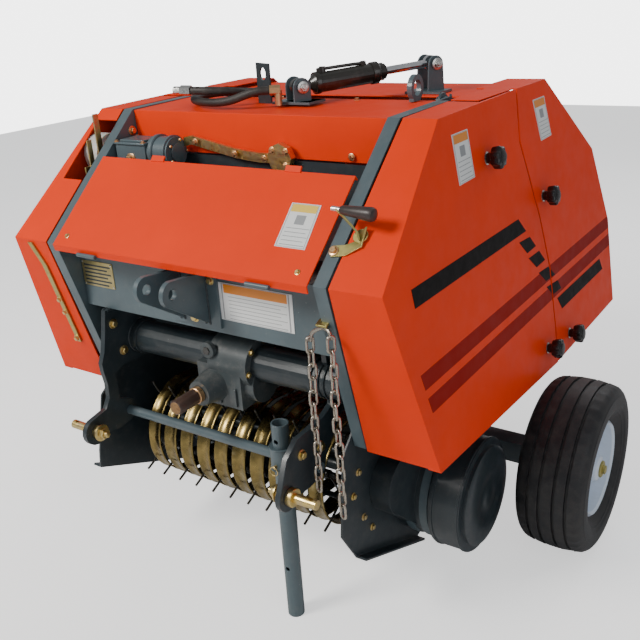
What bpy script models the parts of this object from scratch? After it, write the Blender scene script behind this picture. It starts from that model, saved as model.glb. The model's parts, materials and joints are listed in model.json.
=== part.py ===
"""Small tractor-mounted round baler, parked on its two wheels and its front stand.

Metres, +Z up.  The hitch side faces -Y and the machine's left side faces +X.
The origin is on the ground at the middle of the machine's outline.
"""
import math

import bmesh
import bpy
from mathutils import Matrix, Vector

GAP = 0.0003                  # between pieces that rest on each other

# ---- driving dimensions: side outline of the machine, as (y, z) ----
NOSE = (-0.650, 0.920)        # foremost edge of the covers
BROW = (-0.339, 1.191)        # top of the sloping front
CHIN = (-0.535, 0.500)        # lower front corner of the covers
APEX = (0.285, 1.197)         # rear end of the flat top
REAR_HIGH = (0.624, 0.957)    # the rounded back, downwards
REAR_MID = (0.727, 0.718)
REAR_LOW = (0.716, 0.455)
SEAM = [(0.088, 1.197), (0.076, 1.075), (0.156, 0.872), (0.191, 0.729), (0.191, 0.525),
        (0.189, 0.457)]       # front and rear covers meet along this line, from the top
SEAM_GAP = 0.006              # free play between them
FLANGE_END = -0.126           # the front covers' top flange stops here

SHEET = 0.003                 # cover and panel sheet
NARROW = 0.030                # depth of the covers' lower flange
COVER_X, COVER_LEAN = 0.528, 0.142    # covers' outer face at the nose, and its lean inwards
PLATE = 0.006                 # frame plates
SIDE_X = 0.374                # inner face of the frame's side plates
STRIP = 0.030                 # width of the side plates' outer flange
COVER_IN = 0.410              # inner edge of the front covers' flanges
REAR_COVER_IN = 0.385         # inner edge of the rear covers' flanges

HINGE = (-0.060, 1.186)       # tailgate hinge axis, along X
HINGE_PIN_R = 0.010
GATE_X = 0.361                # inner face of the tailgate's side plates
PICKUP_X = 0.3665             # inner face of the pickup's side plates
HOOD_X, HOOD_LENGTH = 0.368, 0.262    # half width, and length up the slope

WHEEL_X, WHEEL_Y, WHEEL_R = 0.690, 0.060, 0.230    # middle of a tyre, and its radius
TYRE_W, RIM_R = 0.180, 0.130
AXLE_R = 0.018                # wheel spindle

REEL = (-0.400, 0.345)        # pickup reel axis
BAND_R, BAND_W, BAND_PITCH, BANDS = 0.135, 0.0425, 0.058, 10
TINE_R, TINE_ROWS = 0.174, 4  # reach of the tines, and their rows
LEFT_PICKUP_SIDE = [(-0.525, 0.545), (-0.575, 0.500), (-0.598, 0.300), (-0.540, 0.205),
                    (-0.245, 0.070), (-0.120, 0.110), (-0.080, 0.545)]
RIGHT_PICKUP_SIDE = [(-0.525, 0.545), (-0.600, 0.490), (-0.638, 0.340), (-0.645, 0.292),
                     (-0.245, 0.112), (-0.120, 0.125), (-0.080, 0.545)]

STAND = (0.203, -0.575)       # parking stand: x, y
STAND_R, STAND_H = 0.021, 0.542
BAR_Y, BAR_Z = -0.575, 0.454  # cross bar between the hitch arms
ARM_X = 0.300                 # middle of a hitch arm
PIN = (-0.692, 0.447)         # lower hitch pins, along X
PIN_END = 0.378               # their outer ends
LEFT_ARM = [(-0.615, 0.425), (-0.558, 0.430), (-0.545, 0.470), (-0.490, 0.530), (-0.448, 0.570),
            (-0.440, 0.640), (-0.450, 0.7417), (-0.525, 0.7417), (-0.522, 0.690), (-0.500, 0.640),
            (-0.512, 0.583), (-0.547, 0.569), (-0.597, 0.566), (-0.651, 0.562), (-0.692, 0.534)]
RIGHT_ARM = [(-0.620, 0.420), (-0.558, 0.430), (-0.558, 0.476), (-0.603, 0.500), (-0.603, 0.571),
             (-0.575, 0.583), (-0.462, 0.583), (-0.450, 0.640), (-0.455, 0.690), (-0.500, 0.7417),
             (-0.604, 0.7417), (-0.616, 0.684), (-0.628, 0.638), (-0.641, 0.612), (-0.640, 0.590),
             (-0.634, 0.553), (-0.636, 0.515), (-0.652, 0.490)]    # round from under each pin
TOP_EYE = (-0.697, 0.868)     # upper link pin, along X

TUBE = (-0.500, 0.640)        # drive cross tube
TUBE_R = 0.042
PTO = (0.0, 0.585)            # input shaft axis: x, z
SHAFT_R = 0.0175              # its splined end

CYL_BASE = Vector((0.051, -0.200, 1.234))
CYL_EYE = Vector((0.253, 0.100, 1.256))
BARREL_R, ROD_R = 0.024, 0.010
BASE_PIN_R, EYE_PIN_R = 0.008, 0.007
BARREL_BORE, EYE_BORE = 0.0118, 0.0136    # wide bores: the pins tilt in them as the tailgate opens

ROLLER_R, ROLLER_X = 0.044, 0.345     # chamber rollers: radius and half length
ROLLERS = {"front_roller": (-0.130, 0.640), "throat_roller": (0.020, 0.530),
           "rear_roller": (0.330, 0.530)}


# ---- materials ----
COLOURS = {
    "orange": ((0.90, 0.10, 0.01), 0.35, 0.0),
    "frame_grey": ((0.11, 0.15, 0.17), 0.45, 0.0),
    "dark_grey": ((0.025, 0.03, 0.035), 0.5, 0.0),
    "zinc_gold": ((0.62, 0.42, 0.10), 0.35, 0.9),
    "steel": ((0.6, 0.6, 0.6), 0.3, 1.0),
    "tyre": ((0.015, 0.015, 0.015), 0.8, 0.0),
    "rim": ((0.75, 0.8, 0.85), 0.35, 0.0),
    "tank": ((0.85, 0.85, 0.83), 0.3, 0.0),
    "hose": ((0.03, 0.025, 0.022), 0.7, 0.0),
    "grip": ((0.02, 0.02, 0.02), 0.6, 0.0),
}


def material(name):
    """The named paint or metal, made once."""
    made = bpy.data.materials.get(name)
    if made:
        return made
    colour, rough, metal = COLOURS[name]
    made = bpy.data.materials.new(name)
    made.use_nodes = True
    shader = made.node_tree.nodes["Principled BSDF"]
    shader.inputs["Base Color"].default_value = (*colour, 1.0)
    shader.inputs["Roughness"].default_value = rough
    shader.inputs["Metallic"].default_value = metal
    made.diffuse_color = (*colour, 1.0)
    return made


# ---- mesh helpers ----
def prism(outline, x0, x1):
    """A (y, z) outline pushed from x0 to x1."""
    bm = bmesh.new()
    near = [bm.verts.new((x0, y, z)) for y, z in outline]
    far = [bm.verts.new((x1, y, z)) for y, z in outline]
    bm.faces.new(near)
    bm.faces.new(list(reversed(far)))
    for i in range(len(near)):
        j = (i + 1) % len(near)
        bm.faces.new((near[j], near[i], far[i], far[j]))
    bmesh.ops.recalc_face_normals(bm, faces=bm.faces[:])
    return bm


def box(x0, x1, y0, y1, z0, z1):
    """An upright block."""
    return prism([(y0, z0), (y1, z0), (y1, z1), (y0, z1)], x0, x1)


def rod(start, end, radius, sides=16, end_radius=None):
    """A round bar, or a cone, from start to end."""
    start, end = Vector(start), Vector(end)
    axis = end - start
    turn = axis.to_track_quat("Z", "Y").to_matrix().to_4x4()
    bm = bmesh.new()
    bmesh.ops.create_cone(bm, cap_ends=True, segments=sides, radius1=radius,
                          radius2=radius if end_radius is None else end_radius,
                          depth=axis.length,
                          matrix=Matrix.Translation((start + end) / 2) @ turn)
    return bm


def disc(y, z, radius, x0, x1, sides=24):
    """A round plate or shaft along X."""
    return rod((x0, y, z), (x1, y, z), radius, sides)


def lathe(profile, centre, steps=40):
    """A closed (radius, x) profile turned about an axis along X through centre."""
    bm = bmesh.new()
    cx, cy, cz = centre
    rings = []
    for i in range(steps):
        a = 2 * math.pi * i / steps
        rings.append([bm.verts.new((cx + x, cy + r * math.cos(a), cz + r * math.sin(a)))
                      for r, x in profile])
    for i in range(steps):
        near, far = rings[i], rings[(i + 1) % steps]
        for j in range(len(profile)):
            k = (j + 1) % len(profile)
            bm.faces.new((near[j], near[k], far[k], far[j]))
    bmesh.ops.recalc_face_normals(bm, faces=bm.faces[:])
    return bm


def offset_path(path, thickness):
    """The closed outline of a bent sheet that follows a (y, z) path."""
    inner = []
    for i, (y, z) in enumerate(path):
        before = Vector(path[max(i - 1, 0)])
        after = Vector(path[min(i + 1, len(path) - 1)])
        here = Vector((y, z))
        normals = []
        for a, b in ((before, here), (here, after)):
            if (b - a).length > 1e-9:
                d = (b - a).normalized()
                normals.append(Vector((d.y, -d.x)))
        normal = sum(normals, Vector((0, 0))).normalized()
        stretch = 1 / max(normal.dot(normals[0]), 0.3)
        inner.append(tuple(here + normal * thickness * stretch))
    return list(path) + list(reversed(inner))


def arc(centre, radius, start, end, steps):
    """Points of a circular arc in (y, z); angles in degrees from +Y towards +Z."""
    angles = [math.radians(start + (end - start) * i / steps) for i in range(steps + 1)]
    return [(centre[0] + radius * math.cos(a), centre[1] + radius * math.sin(a))
            for a in angles]


def new_object(name, bm):
    mesh = bpy.data.meshes.new(name)
    bm.to_mesh(mesh)
    bm.free()
    made = bpy.data.objects.new(name, mesh)
    bpy.context.scene.collection.objects.link(made)
    return made


def combine(name, colour, adds, cuts=(), smooth=True):
    """One solid: the union of the meshes in adds, less those in cuts."""
    body = new_object(name, adds[0])
    tools = []
    for operation, meshes in (("UNION", adds[1:]), ("DIFFERENCE", cuts)):
        if not meshes:
            continue
        group = bpy.data.collections.new(name + "_tools")
        for bm in meshes:
            tool = new_object(name + "_tool", bm)
            bpy.context.scene.collection.objects.unlink(tool)
            group.objects.link(tool)
            tools.append(tool)
        modifier = body.modifiers.new(operation.title(), "BOOLEAN")
        modifier.operation = operation
        modifier.operand_type = "COLLECTION"
        modifier.collection = group
        modifier.solver = "EXACT"
    if tools:
        depsgraph = bpy.context.evaluated_depsgraph_get()
        solid = bpy.data.meshes.new_from_object(body.evaluated_get(depsgraph))
        body.modifiers.clear()
        body.data = solid
        for tool in tools:
            bpy.data.objects.remove(tool)
    return finish(body, colour, smooth)


def finish(body, colour, smooth=True):
    """Material and shading; small slivers left by the cuts are dissolved."""
    bm = bmesh.new()
    bm.from_mesh(body.data)
    bmesh.ops.remove_doubles(bm, verts=bm.verts[:], dist=0.00002)
    bmesh.ops.dissolve_degenerate(bm, dist=0.00002, edges=bm.edges[:])
    bmesh.ops.recalc_face_normals(bm, faces=bm.faces[:])
    bm.to_mesh(body.data)
    bm.free()
    body.data.materials.clear()
    body.data.materials.append(material(colour))
    if smooth:
        body.data.shade_smooth()
        body.data.set_sharp_from_angle(angle=math.radians(35))
    return body


def set_origin(body, point):
    """Move the object's origin to point and leave its shape where it is."""
    body.data.transform(Matrix.Translation(-Vector(point)))
    body.location = point


# ---- frame ----
def side_frame(name, side):
    """Side plate with a flange along its sloping front edges and its top."""
    hinge_y, hinge_z = HINGE
    outline = [NOSE, BROW, (hinge_y + 0.018, BROW[1] + 0.004)]
    outline += arc(HINGE, 0.022, 40, -50, 5)
    outline += [(-0.015, 1.090), (0.100, 0.885), (0.173, 0.492), (-0.100, 0.490), (CHIN[0] + 0.004, 0.505)]
    inner, outer = side * SIDE_X, side * (SIDE_X + PLATE)
    edge = side * (SIDE_X + STRIP)
    flanges = [(NOSE, BROW), (NOSE, (CHIN[0] + 0.004, 0.505)), (BROW, (-0.108, BROW[1] + 0.003))]
    adds = [prism(outline, inner, outer)]
    for start, end in flanges:
        d = (Vector(end) - Vector(start)).normalized()
        n = Vector((d.y, -d.x))
        if n.dot(Vector((-0.2, 0.8)) - Vector(start)) < 0:
            n = -n
        a, b = Vector(start), Vector(end)
        strip = [tuple(a), tuple(b), tuple(b + n * PLATE), tuple(a + n * PLATE)]
        adds.append(prism(strip, inner, edge))
    adds.append(disc(hinge_y, hinge_z, HINGE_PIN_R, side * 0.352, side * (SIDE_X + 0.004), 16))
    return combine(name, "frame_grey", adds)


def front_beam():
    """Box beam across the front, open at its underside between the side plates."""
    x = SIDE_X - GAP
    outer = box(-x, x, -0.585, -0.500, 0.742, 0.896)
    inner = box(-x - 0.01, x + 0.01, -0.585 + PLATE, -0.500 - PLATE, 0.742 + PLATE, 0.896 - PLATE)
    return combine("front_beam", "frame_grey", [outer], [inner])


def top_link_bracket():
    """Two cheeks for the upper link, on a back plate."""
    cheek = arc(TOP_EYE, 0.030, 95, 250, 8) + [(-0.586 - GAP, 0.760), (-0.586 - GAP, 0.885)]
    adds = [box(-0.075, 0.075, -0.592, -0.585 - GAP, 0.755, 0.890)]
    for x in (-0.038, 0.038):
        adds.append(prism(cheek, x - 0.006, x + 0.006))
    hole = disc(*TOP_EYE, 0.0125, -0.06, 0.06, 20)
    return combine("top_link_bracket", "frame_grey", adds, [hole])


def chamber_front_wall():
    """Sloping wall behind the hood, from the beam up to the deck."""
    path = [(-0.505, 0.8965), (-0.500, 0.915), (-0.340, 0.985), (-0.3335, 1.0860)]
    x = SIDE_X - GAP
    return combine("chamber_front_wall", "dark_grey", [prism(offset_path(path, -SHEET), -x, x)])


def throat_pan():
    """Sheet that carries the crop from the pickup to the chamber."""
    x = GATE_X - 0.004
    return combine("throat_pan", "dark_grey",
                   [prism(offset_path([(-0.204, 0.466), (-0.120, 0.474), (-0.032, 0.470)], SHEET), -x, x)])


def chamber_floor():
    """Bent sheet between the lower rollers."""
    x = GATE_X - 0.004
    path = [(0.078, 0.500), (0.095, 0.484), (0.255, 0.484), (0.272, 0.500)]
    return combine("chamber_floor", "dark_grey", [prism(offset_path(path, SHEET), -x, x)])


def top_deck():
    """Flat deck with a steep front panel, a rear lip and stiff turned edges."""
    x = SIDE_X - GAP
    path = [(-0.333, 1.0895), (-0.336, 1.1885), (-0.100, 1.1925), (-0.096, 1.150)]
    return combine("top_deck", "orange", [prism(offset_path(path, SHEET), -x, x)])


def lifting_eye():
    """Upright ring welded to the rear of the deck, near its left edge."""
    centre = (-0.118, 1.223)
    ring = disc(centre[0], centre[1], 0.030, 0.318, 0.330, 28)
    foot = box(0.318, 0.330, centre[0] - 0.020, centre[0] + 0.015, 1.1935, 1.205)
    hole = disc(centre[0], centre[1], 0.018, 0.310, 0.340, 24)
    return combine("lifting_eye", "frame_grey", [ring, foot], [hole])


# ---- covers ----
def cover_x(z):
    """Outer face of the covers; they lean in towards the top."""
    return COVER_X - COVER_LEAN * (z - NOSE[1])


def inset(outline, distances):
    """A closed (y, z) outline with each edge moved inwards by its own distance."""
    count = len(outline)
    edges = []
    for i in range(count):
        start, end = Vector(outline[i]), Vector(outline[(i + 1) % count])
        d = (end - start).normalized()
        edges.append((d, Vector((d.y, -d.x)) * distances[i]))
    moved = []
    for i, corner in enumerate(outline):
        (d, before), (e, after) = edges[i - 1], edges[i]
        p, q = Vector(corner) + before, Vector(corner) + after
        turn = d.cross(e)
        if abs(turn) < 0.2 and (p - q).length > SHEET:
            moved += [tuple(p), tuple(q)]
        elif abs(turn) < 0.001:
            moved.append(tuple(q))
        else:
            moved.append(tuple(p + d * ((q - p).cross(e) / turn)))
    return moved


def slab(outline, side, inner, outer_x):
    """A prism whose far face leans with outer_x(z)."""
    bm = prism(outline, side * inner, side * (inner + 1))
    for vertex in bm.verts:
        if abs(abs(vertex.co.x) - (inner + 1)) < 1e-5:
            vertex.co.x = side * outer_x(vertex.co.z)
    bmesh.ops.recalc_face_normals(bm, faces=bm.faces[:])
    return bm


def cover(side, outline, inner, bare_edges, short_edges):
    """Outer panel and the hollow inside it, for an outline that runs clockwise in (y, z).

    Edges in bare_edges have no flange, those in short_edges only a narrow one.
    """
    below = inner - 0.02
    moves = [-0.02 if i in bare_edges else SHEET for i in range(len(outline))]
    cuts = [slab(inset(outline, moves), side, below, lambda z: cover_x(z) - SHEET)]
    for i in short_edges:
        a, b = outline[i], outline[(i + 1) % len(outline)]
        d = (Vector(b) - Vector(a)).normalized()
        n = Vector((d.y, -d.x))
        a, b = Vector(a) - d * 0.001, Vector(b) + d * 0.001
        strip = [tuple(a - n * 0.01), tuple(b - n * 0.01), tuple(b + n * 0.006), tuple(a + n * 0.006)]
        cuts.append(slab(strip, side, below, lambda z: cover_x(z) - NARROW))
    return slab(outline, side, inner, cover_x), cuts


def front_cover(name, side):
    """Front side cover; its panel runs on past the top flange to the seam."""
    seam = [(y - SEAM_GAP, z - 0.001) for y, z in SEAM]
    outline = [NOSE, BROW, (FLANGE_END, 1.195)] + seam + [CHIN]
    last = len(outline) - 1
    panel, cuts = cover(side, outline, COVER_IN, range(2, last - 1), [last - 1])
    if side < 0:
        cuts.append(box(-0.478, -0.400, -0.510, -0.365, 1.02, 1.22))
    return combine(name, "orange", [panel], cuts)


def rear_cover(name, side):
    """Rear side cover, with a tongue forwards over the front cover's open top."""
    outline = [SEAM[0], APEX, REAR_HIGH, REAR_MID, REAR_LOW] + SEAM[:0:-1]
    panel, cuts = cover(side, outline, REAR_COVER_IN, range(5, len(outline)), [4])
    x0, x1 = sorted((side * COVER_IN, side * (cover_x(APEX[1]) - 0.010)))
    tongue = box(x0, x1, -0.112, SEAM[0][0] + 0.020, APEX[1] - SHEET, APEX[1])
    return combine(name, "orange", [panel, tongue], cuts)


# ---- hood ----
def hood():
    """Sloping front lid, hinged along its lower edge."""
    along = (Vector(BROW) - Vector(NOSE)).normalized()
    out = Vector((-along.y, along.x))
    foot = Vector(NOSE) + out * 0.010 - along * 0.008
    head = foot + along * HOOD_LENGTH
    lip = foot + Vector((0.004, -0.016))
    path = [tuple(lip), tuple(foot), tuple(head), tuple(head - out * 0.012)]
    adds = [prism(offset_path(path, SHEET), -HOOD_X, HOOD_X)]
    tab_foot = head - along * 0.004
    tab_top = tab_foot + out * 0.003 + along * 0.014
    tab = [tuple(tab_foot - out * 0.001), tuple(tab_top - out * 0.001), tuple(tab_top + out * 0.003),
           tuple(tab_foot + out * 0.003)]
    for x in (-0.180, 0.214):
        adds.append(prism(tab, x - 0.020, x + 0.020))
    made = combine("hood", "orange", adds)
    set_origin(made, (0, *foot))
    return made


# ---- tailgate ----
def gate_side(name, side):
    """Side plate of the tailgate, hung on the hinge pin."""
    outline = arc(HINGE, 0.020, 200, 60, 6)
    outline += [(-0.010, APEX[1] - 0.020), (APEX[0] - 0.012, APEX[1] - 0.020),
                (REAR_HIGH[0] - 0.020, REAR_HIGH[1] - 0.020), (REAR_MID[0] - 0.022, REAR_MID[1] - 0.010),
                (REAR_LOW[0] - 0.022, REAR_LOW[1] + 0.016), (SEAM[-1][0], SEAM[-1][1] + 0.015),
                (0.116, 0.885), (0.016, 1.094)]
    hole = disc(HINGE[0], HINGE[1], HINGE_PIN_R + 0.001, side * 0.35, side * 0.39, 16)
    inner, outer = side * GATE_X, side * (GATE_X + PLATE)
    made = combine(name, "frame_grey", [prism(outline, inner, outer)], [hole])
    return made


def gate_shell():
    """Bent sheet that closes the tailgate's top and back."""
    path = [(0.030, 1.1805), (0.031, APEX[1] - 0.0125), (APEX[0] - 0.004, APEX[1] - 0.0125),
            (REAR_HIGH[0] - 0.010, REAR_HIGH[1] - 0.010), (REAR_MID[0] - 0.012, REAR_MID[1] - 0.004),
            (REAR_LOW[0] - 0.012, REAR_LOW[1] + 0.010), (REAR_LOW[0] - 0.045, REAR_LOW[1] + 0.009)]
    x = REAR_COVER_IN - 0.0015
    return combine("tailgate_shell", "orange", [prism(offset_path(path, SHEET), -x, x)])


def cylinder_axes():
    """Direction of the cylinder, and the level pin direction across it."""
    along = (CYL_EYE - CYL_BASE).normalized()
    across = along.cross(Vector((0, 0, 1))).normalized()
    return along, across


def lug(centre, across, offset, foot_z, radius, width, thickness):
    """One upright ear with a round top; its foot is at foot_z."""
    forward = Vector((0, 0, 1)).cross(across).normalized()
    bm = bmesh.new()
    points = [(-width / 2, foot_z - centre.z), (width / 2, foot_z - centre.z)]
    points += [(radius * math.cos(math.radians(a)), radius * math.sin(math.radians(a)))
               for a in range(0, 181, 20)]
    sheets = []
    for t in (-thickness / 2, thickness / 2):
        base = centre + across * (offset + t)
        sheets.append([bm.verts.new(base + forward * u + Vector((0, 0, v))) for u, v in points])
    bm.faces.new(sheets[0])
    bm.faces.new(list(reversed(sheets[1])))
    for i in range(len(points)):
        j = (i + 1) % len(points)
        bm.faces.new((sheets[0][j], sheets[0][i], sheets[1][i], sheets[1][j]))
    bmesh.ops.recalc_face_normals(bm, faces=bm.faces[:])
    return bm


def cylinder_base():
    """Clevis on the deck that holds the cylinder's barrel, with its pin."""
    _, across = cylinder_axes()
    foot = 1.1955
    adds = [box(CYL_BASE.x - 0.055, CYL_BASE.x + 0.055, CYL_BASE.y - 0.035, CYL_BASE.y + 0.035,
                foot, foot + 0.006)]
    for offset in (-0.026, 0.026):
        adds.append(lug(CYL_BASE, across, offset, foot + 0.003, 0.022, 0.044, 0.006))
    adds.append(rod(CYL_BASE - across * 0.034, CYL_BASE + across * 0.040, BASE_PIN_R, 16))
    return combine("cylinder_base", "dark_grey", adds)


def rod_bracket():
    """Clevis on the tailgate that the cylinder's rod pulls, with its pin."""
    _, across = cylinder_axes()
    foot = APEX[1] - 0.0120
    adds = [box(CYL_EYE.x - 0.050, CYL_EYE.x + 0.050, CYL_EYE.y - 0.045, CYL_EYE.y + 0.022,
                foot, foot + 0.006)]
    for offset in (-0.028, 0.028):
        adds.append(lug(CYL_EYE, across, offset, foot + 0.003, 0.020, 0.046, 0.006))
    adds.append(rod(CYL_EYE - across * 0.036, CYL_EYE + across * 0.040, EYE_PIN_R, 16))
    return combine("rod_bracket", "dark_grey", adds)


def cylinder_barrel():
    """Barrel with its eye, neck, gland and port, bored for the rod."""
    along, across = cylinder_axes()
    adds = [rod(CYL_BASE + along * 0.043, CYL_BASE + along * 0.212, BARREL_R, 24),
            rod(CYL_BASE + along * 0.200, CYL_BASE + along * 0.226, BARREL_R * 0.9, 24),
            rod(CYL_BASE - across * 0.008, CYL_BASE + across * 0.008, 0.0185, 20),
            rod(CYL_BASE + along * 0.013, CYL_BASE + along * 0.050, 0.009, 12)]
    port = CYL_BASE + along * 0.066
    adds.append(rod(port, port + Vector((0, 0, 0.036)), 0.008, 12))
    cuts = [rod(CYL_BASE - across * 0.02, CYL_BASE + across * 0.02, BARREL_BORE, 20),
            rod(CYL_BASE + along * 0.090, CYL_BASE + along * 0.240, ROD_R + 0.0005, 20)]
    made = combine("cylinder_barrel", "dark_grey", adds, cuts)
    set_origin(made, CYL_BASE)
    return made


def cylinder_rod():
    """Chromed rod with its eye."""
    along, across = cylinder_axes()
    adds = [rod(CYL_BASE + along * 0.185, CYL_EYE - along * 0.014, ROD_R, 20),
            rod(CYL_EYE - across * 0.0065, CYL_EYE + across * 0.0065, 0.0195, 20)]
    cuts = [rod(CYL_EYE - across * 0.02, CYL_EYE + across * 0.02, EYE_BORE, 20)]
    return combine("cylinder_rod", "steel", adds, cuts)


# ---- hitch ----
def hitch_arm(name, side):
    """Plate that hangs from the beam and carries a lower hitch pin."""
    if side > 0:
        outline = arc(PIN, 0.036, 140, 330, 10) + LEFT_ARM
    else:
        outline = arc(PIN, 0.036, 115, 330, 10) + RIGHT_ARM
    x = side * ARM_X
    tube_hole = disc(TUBE[0], TUBE[1], TUBE_R + GAP, x - 0.02, x + 0.02, 28)
    pin_hole = disc(PIN[0], PIN[1], 0.0125, x - 0.02, x + 0.02, 16)
    bar_hole = disc(BAR_Y, BAR_Z, 0.0129, x - 0.02, x + 0.02, 16)
    return combine(name, "dark_grey", [prism(outline, x - 0.007, x + 0.007)],
                   [tube_hole, pin_hole, bar_hole])


def hitch_pin(name, side):
    """Lower link pin with a collar outside the arm and a nut inside it."""
    y, z = PIN
    adds = [disc(y, z, 0.0112, side * 0.272, side * PIN_END, 20),
            disc(y, z, 0.020, side * (ARM_X + 0.0073), side * 0.322, 24),
            disc(y, z, 0.018, side * 0.278, side * (ARM_X - 0.0073), 6)]
    hole = rod((side * 0.364, y, z - 0.02), (side * 0.364, y, z + 0.02), 0.005, 12)
    return combine(name, "steel", adds, [hole])


def hitch_bar():
    """Round bar between the arms, with the parking stand's sleeve."""
    reach = ARM_X + 0.012
    sx, sy = STAND
    adds = [disc(BAR_Y, BAR_Z, 0.0125, -reach, reach, 16),
            rod((sx, sy, BAR_Z - 0.028), (sx, sy, BAR_Z + 0.028), STAND_R + 0.007, 28)]
    cuts = [rod((sx, sy, BAR_Z - 0.05), (sx, sy, BAR_Z + 0.05), STAND_R + 0.0006, 28)]
    return combine("hitch_bar", "frame_grey", adds, cuts)


def parking_stand():
    """Tube that slides in the sleeve, closed at its foot."""
    sx, sy = STAND
    adds = [rod((sx, sy, 0.0), (sx, sy, STAND_H), STAND_R, 28)]
    cuts = [rod((sx, sy, 0.006), (sx, sy, STAND_H + 0.02), STAND_R - 0.004, 24)]
    for z in (0.145, 0.500):
        cuts.append(rod((sx, sy - 0.04, z), (sx, sy - 0.01, z), 0.006, 12))
    return combine("parking_stand", "frame_grey", adds, cuts)


# ---- drive ----
def cross_tube():
    """Tube between the side plates that carries the gearbox."""
    x = SIDE_X - GAP
    return combine("cross_tube", "dark_grey", [disc(TUBE[0], TUBE[1], TUBE_R, -x, x, 28)])


def gearbox():
    """Bevel gearbox under the tube: clamp ring, case, input neck and side flange."""
    y, z = TUBE
    adds = [disc(y, z, 0.062, -0.010, 0.105, 32),
            box(-0.045, 0.085, -0.560, -0.470, 0.535, 0.640),
            rod((PTO[0], -0.550, PTO[1]), (PTO[0], -0.612, PTO[1]), 0.044, 28, 0.031),
            disc(y + 0.002, 0.590, 0.050, 0.080, 0.112, 28)]
    cuts = [disc(y, z, TUBE_R + GAP, -0.2, 0.2, 28),
            rod((PTO[0], -0.570, PTO[1]), (PTO[0], -0.640, PTO[1]), SHAFT_R + 0.001, 24)]
    return combine("gearbox", "dark_grey", adds, cuts)


def input_shaft():
    """Stub for the tractor's drive shaft, with a collar."""
    x, z = PTO
    adds = [rod((x, -0.572, z), (x, -0.694, z), SHAFT_R, 24),
            rod((x, -0.6135, z), (x, -0.624, z), 0.0235, 24)]
    made = combine("input_shaft", "steel", adds)
    set_origin(made, (x, -0.620, z))
    return made


def drive_guard():
    """Round housing over the pickup's drive, on the left side plate."""
    centre = (-0.223, 0.250)
    start = 0.3729
    adds = [disc(centre[0], centre[1], 0.132, start, 0.470, 40),
            disc(centre[0], centre[1], 0.145, 0.468, 0.548, 48),
            disc(centre[0], centre[1], 0.128, 0.546, 0.558, 48),
            disc(REEL[0], REEL[1], 0.075, start, 0.425, 32)]
    bridge = [(-0.305, 0.160), (-0.150, 0.355), (-0.375, 0.415), (-0.440, 0.283)]
    adds.append(prism(bridge, start, 0.425))
    cuts = [disc(centre[0], centre[1], 0.120, start - 0.01, 0.540, 40)]
    return combine("drive_guard", "dark_grey", adds, cuts)


# ---- pickup ----
def pickup_bands():
    """Stripper bands wrapped round the reel, carried by two cross bars."""
    path = [(-0.205, 0.455)] + arc(REEL, BAND_R, 75, 285, 20) + [(-0.262, 0.206)]
    outline = offset_path(path, SHEET)
    x = PICKUP_X - 0.0006
    adds = [box(-x, x, -0.235, -0.205, 0.446, 0.4585), box(-x, x, -0.285, -0.255, 0.196, 0.2085)]
    for i in range(BANDS):
        middle = (i - (BANDS - 1) / 2) * BAND_PITCH
        adds.append(prism(outline, middle - BAND_W / 2, middle + BAND_W / 2))
    return combine("pickup_bands", "zinc_gold", adds)


def pickup_reel():
    """Shaft with spiders, tine bars and spring tines."""
    y, z = REEL
    adds = [disc(y, z, 0.016, -0.352, 0.352, 16)]
    for x in (-0.318, 0.0, 0.318):
        adds.append(disc(y, z, 0.092, x - 0.003, x + 0.003, 24))
    for row in range(TINE_ROWS):
        a = math.radians(210 + 360 / TINE_ROWS * row)
        d = Vector((0, math.cos(a), math.sin(a)))
        seat = Vector((0, y, z)) + d * 0.080
        adds.append(rod(seat + Vector((-0.325, 0, 0)), seat + Vector((0.325, 0, 0)), 0.007, 8))
        for i in range(BANDS + 1):
            x = (i - BANDS / 2) * BAND_PITCH
            base = seat + Vector((x, 0, 0))
            adds.append(rod(base - d * 0.002, Vector((x, y, z)) + d * TINE_R, 0.0026, 6))
    made = combine("pickup_reel", "dark_grey", adds)
    set_origin(made, (0, y, z))
    return made


def pickup_side(name, side):
    """Side plate of the pickup, with a bottom runner turned outwards."""
    outline = LEFT_PICKUP_SIDE if side > 0 else RIGHT_PICKUP_SIDE
    inner, outer = side * PICKUP_X, side * (PICKUP_X + PLATE)
    adds = [prism(outline, inner, outer)]
    along = (Vector(outline[4]) - Vector(outline[3])).normalized()
    up = Vector((-along.y, along.x))
    a, b = Vector(outline[3]), Vector(outline[4])
    runner = [tuple(a), tuple(b), tuple(b + up * PLATE), tuple(a + up * PLATE)]
    adds.append(prism(runner, inner, side * (SIDE_X + 0.022)))
    hole = disc(REEL[0], REEL[1], 0.020, side * 0.34, side * 0.39, 20)
    return combine(name, "dark_grey", adds, [hole])


# ---- running gear ----
def axle_beam():
    """Square beam under the chamber with uprights and wheel spindles."""
    y, half = WHEEL_Y, 0.030
    z = WHEEL_R
    upright_in = SIDE_X + PLATE + GAP
    adds = [box(-0.560, 0.560, y - half, y + half, z - half, z + half)]
    for side in (-1, 1):
        a, b = sorted((side * upright_in, side * (upright_in + 0.050)))
        adds.append(box(a, b, y - half, y + half, z, 0.620))
        adds.append(rod((side * 0.550, y, z), (side * (WHEEL_X + 0.040), y, z), AXLE_R, 20))
    return combine("axle_beam", "frame_grey", adds)


def tyre(name, side):
    """Plain balloon tyre."""
    half = TYRE_W / 2
    r, seat = WHEEL_R, RIM_R
    profile = [(seat, -half * 0.72), (seat + 0.018, -half * 0.90), (seat + 0.048, -half),
               (r - 0.030, -half * 0.97), (r - 0.010, -half * 0.80), (r - 0.002, -half * 0.5),
               (r, 0), (r - 0.002, half * 0.5), (r - 0.010, half * 0.80), (r - 0.030, half * 0.97),
               (seat + 0.048, half), (seat + 0.018, half * 0.90), (seat, half * 0.72)]
    made = combine(name, "tyre", [lathe(profile, (side * WHEEL_X, WHEEL_Y, WHEEL_R), 44)])
    set_origin(made, (side * WHEEL_X, WHEEL_Y, WHEEL_R))
    return made


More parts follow.
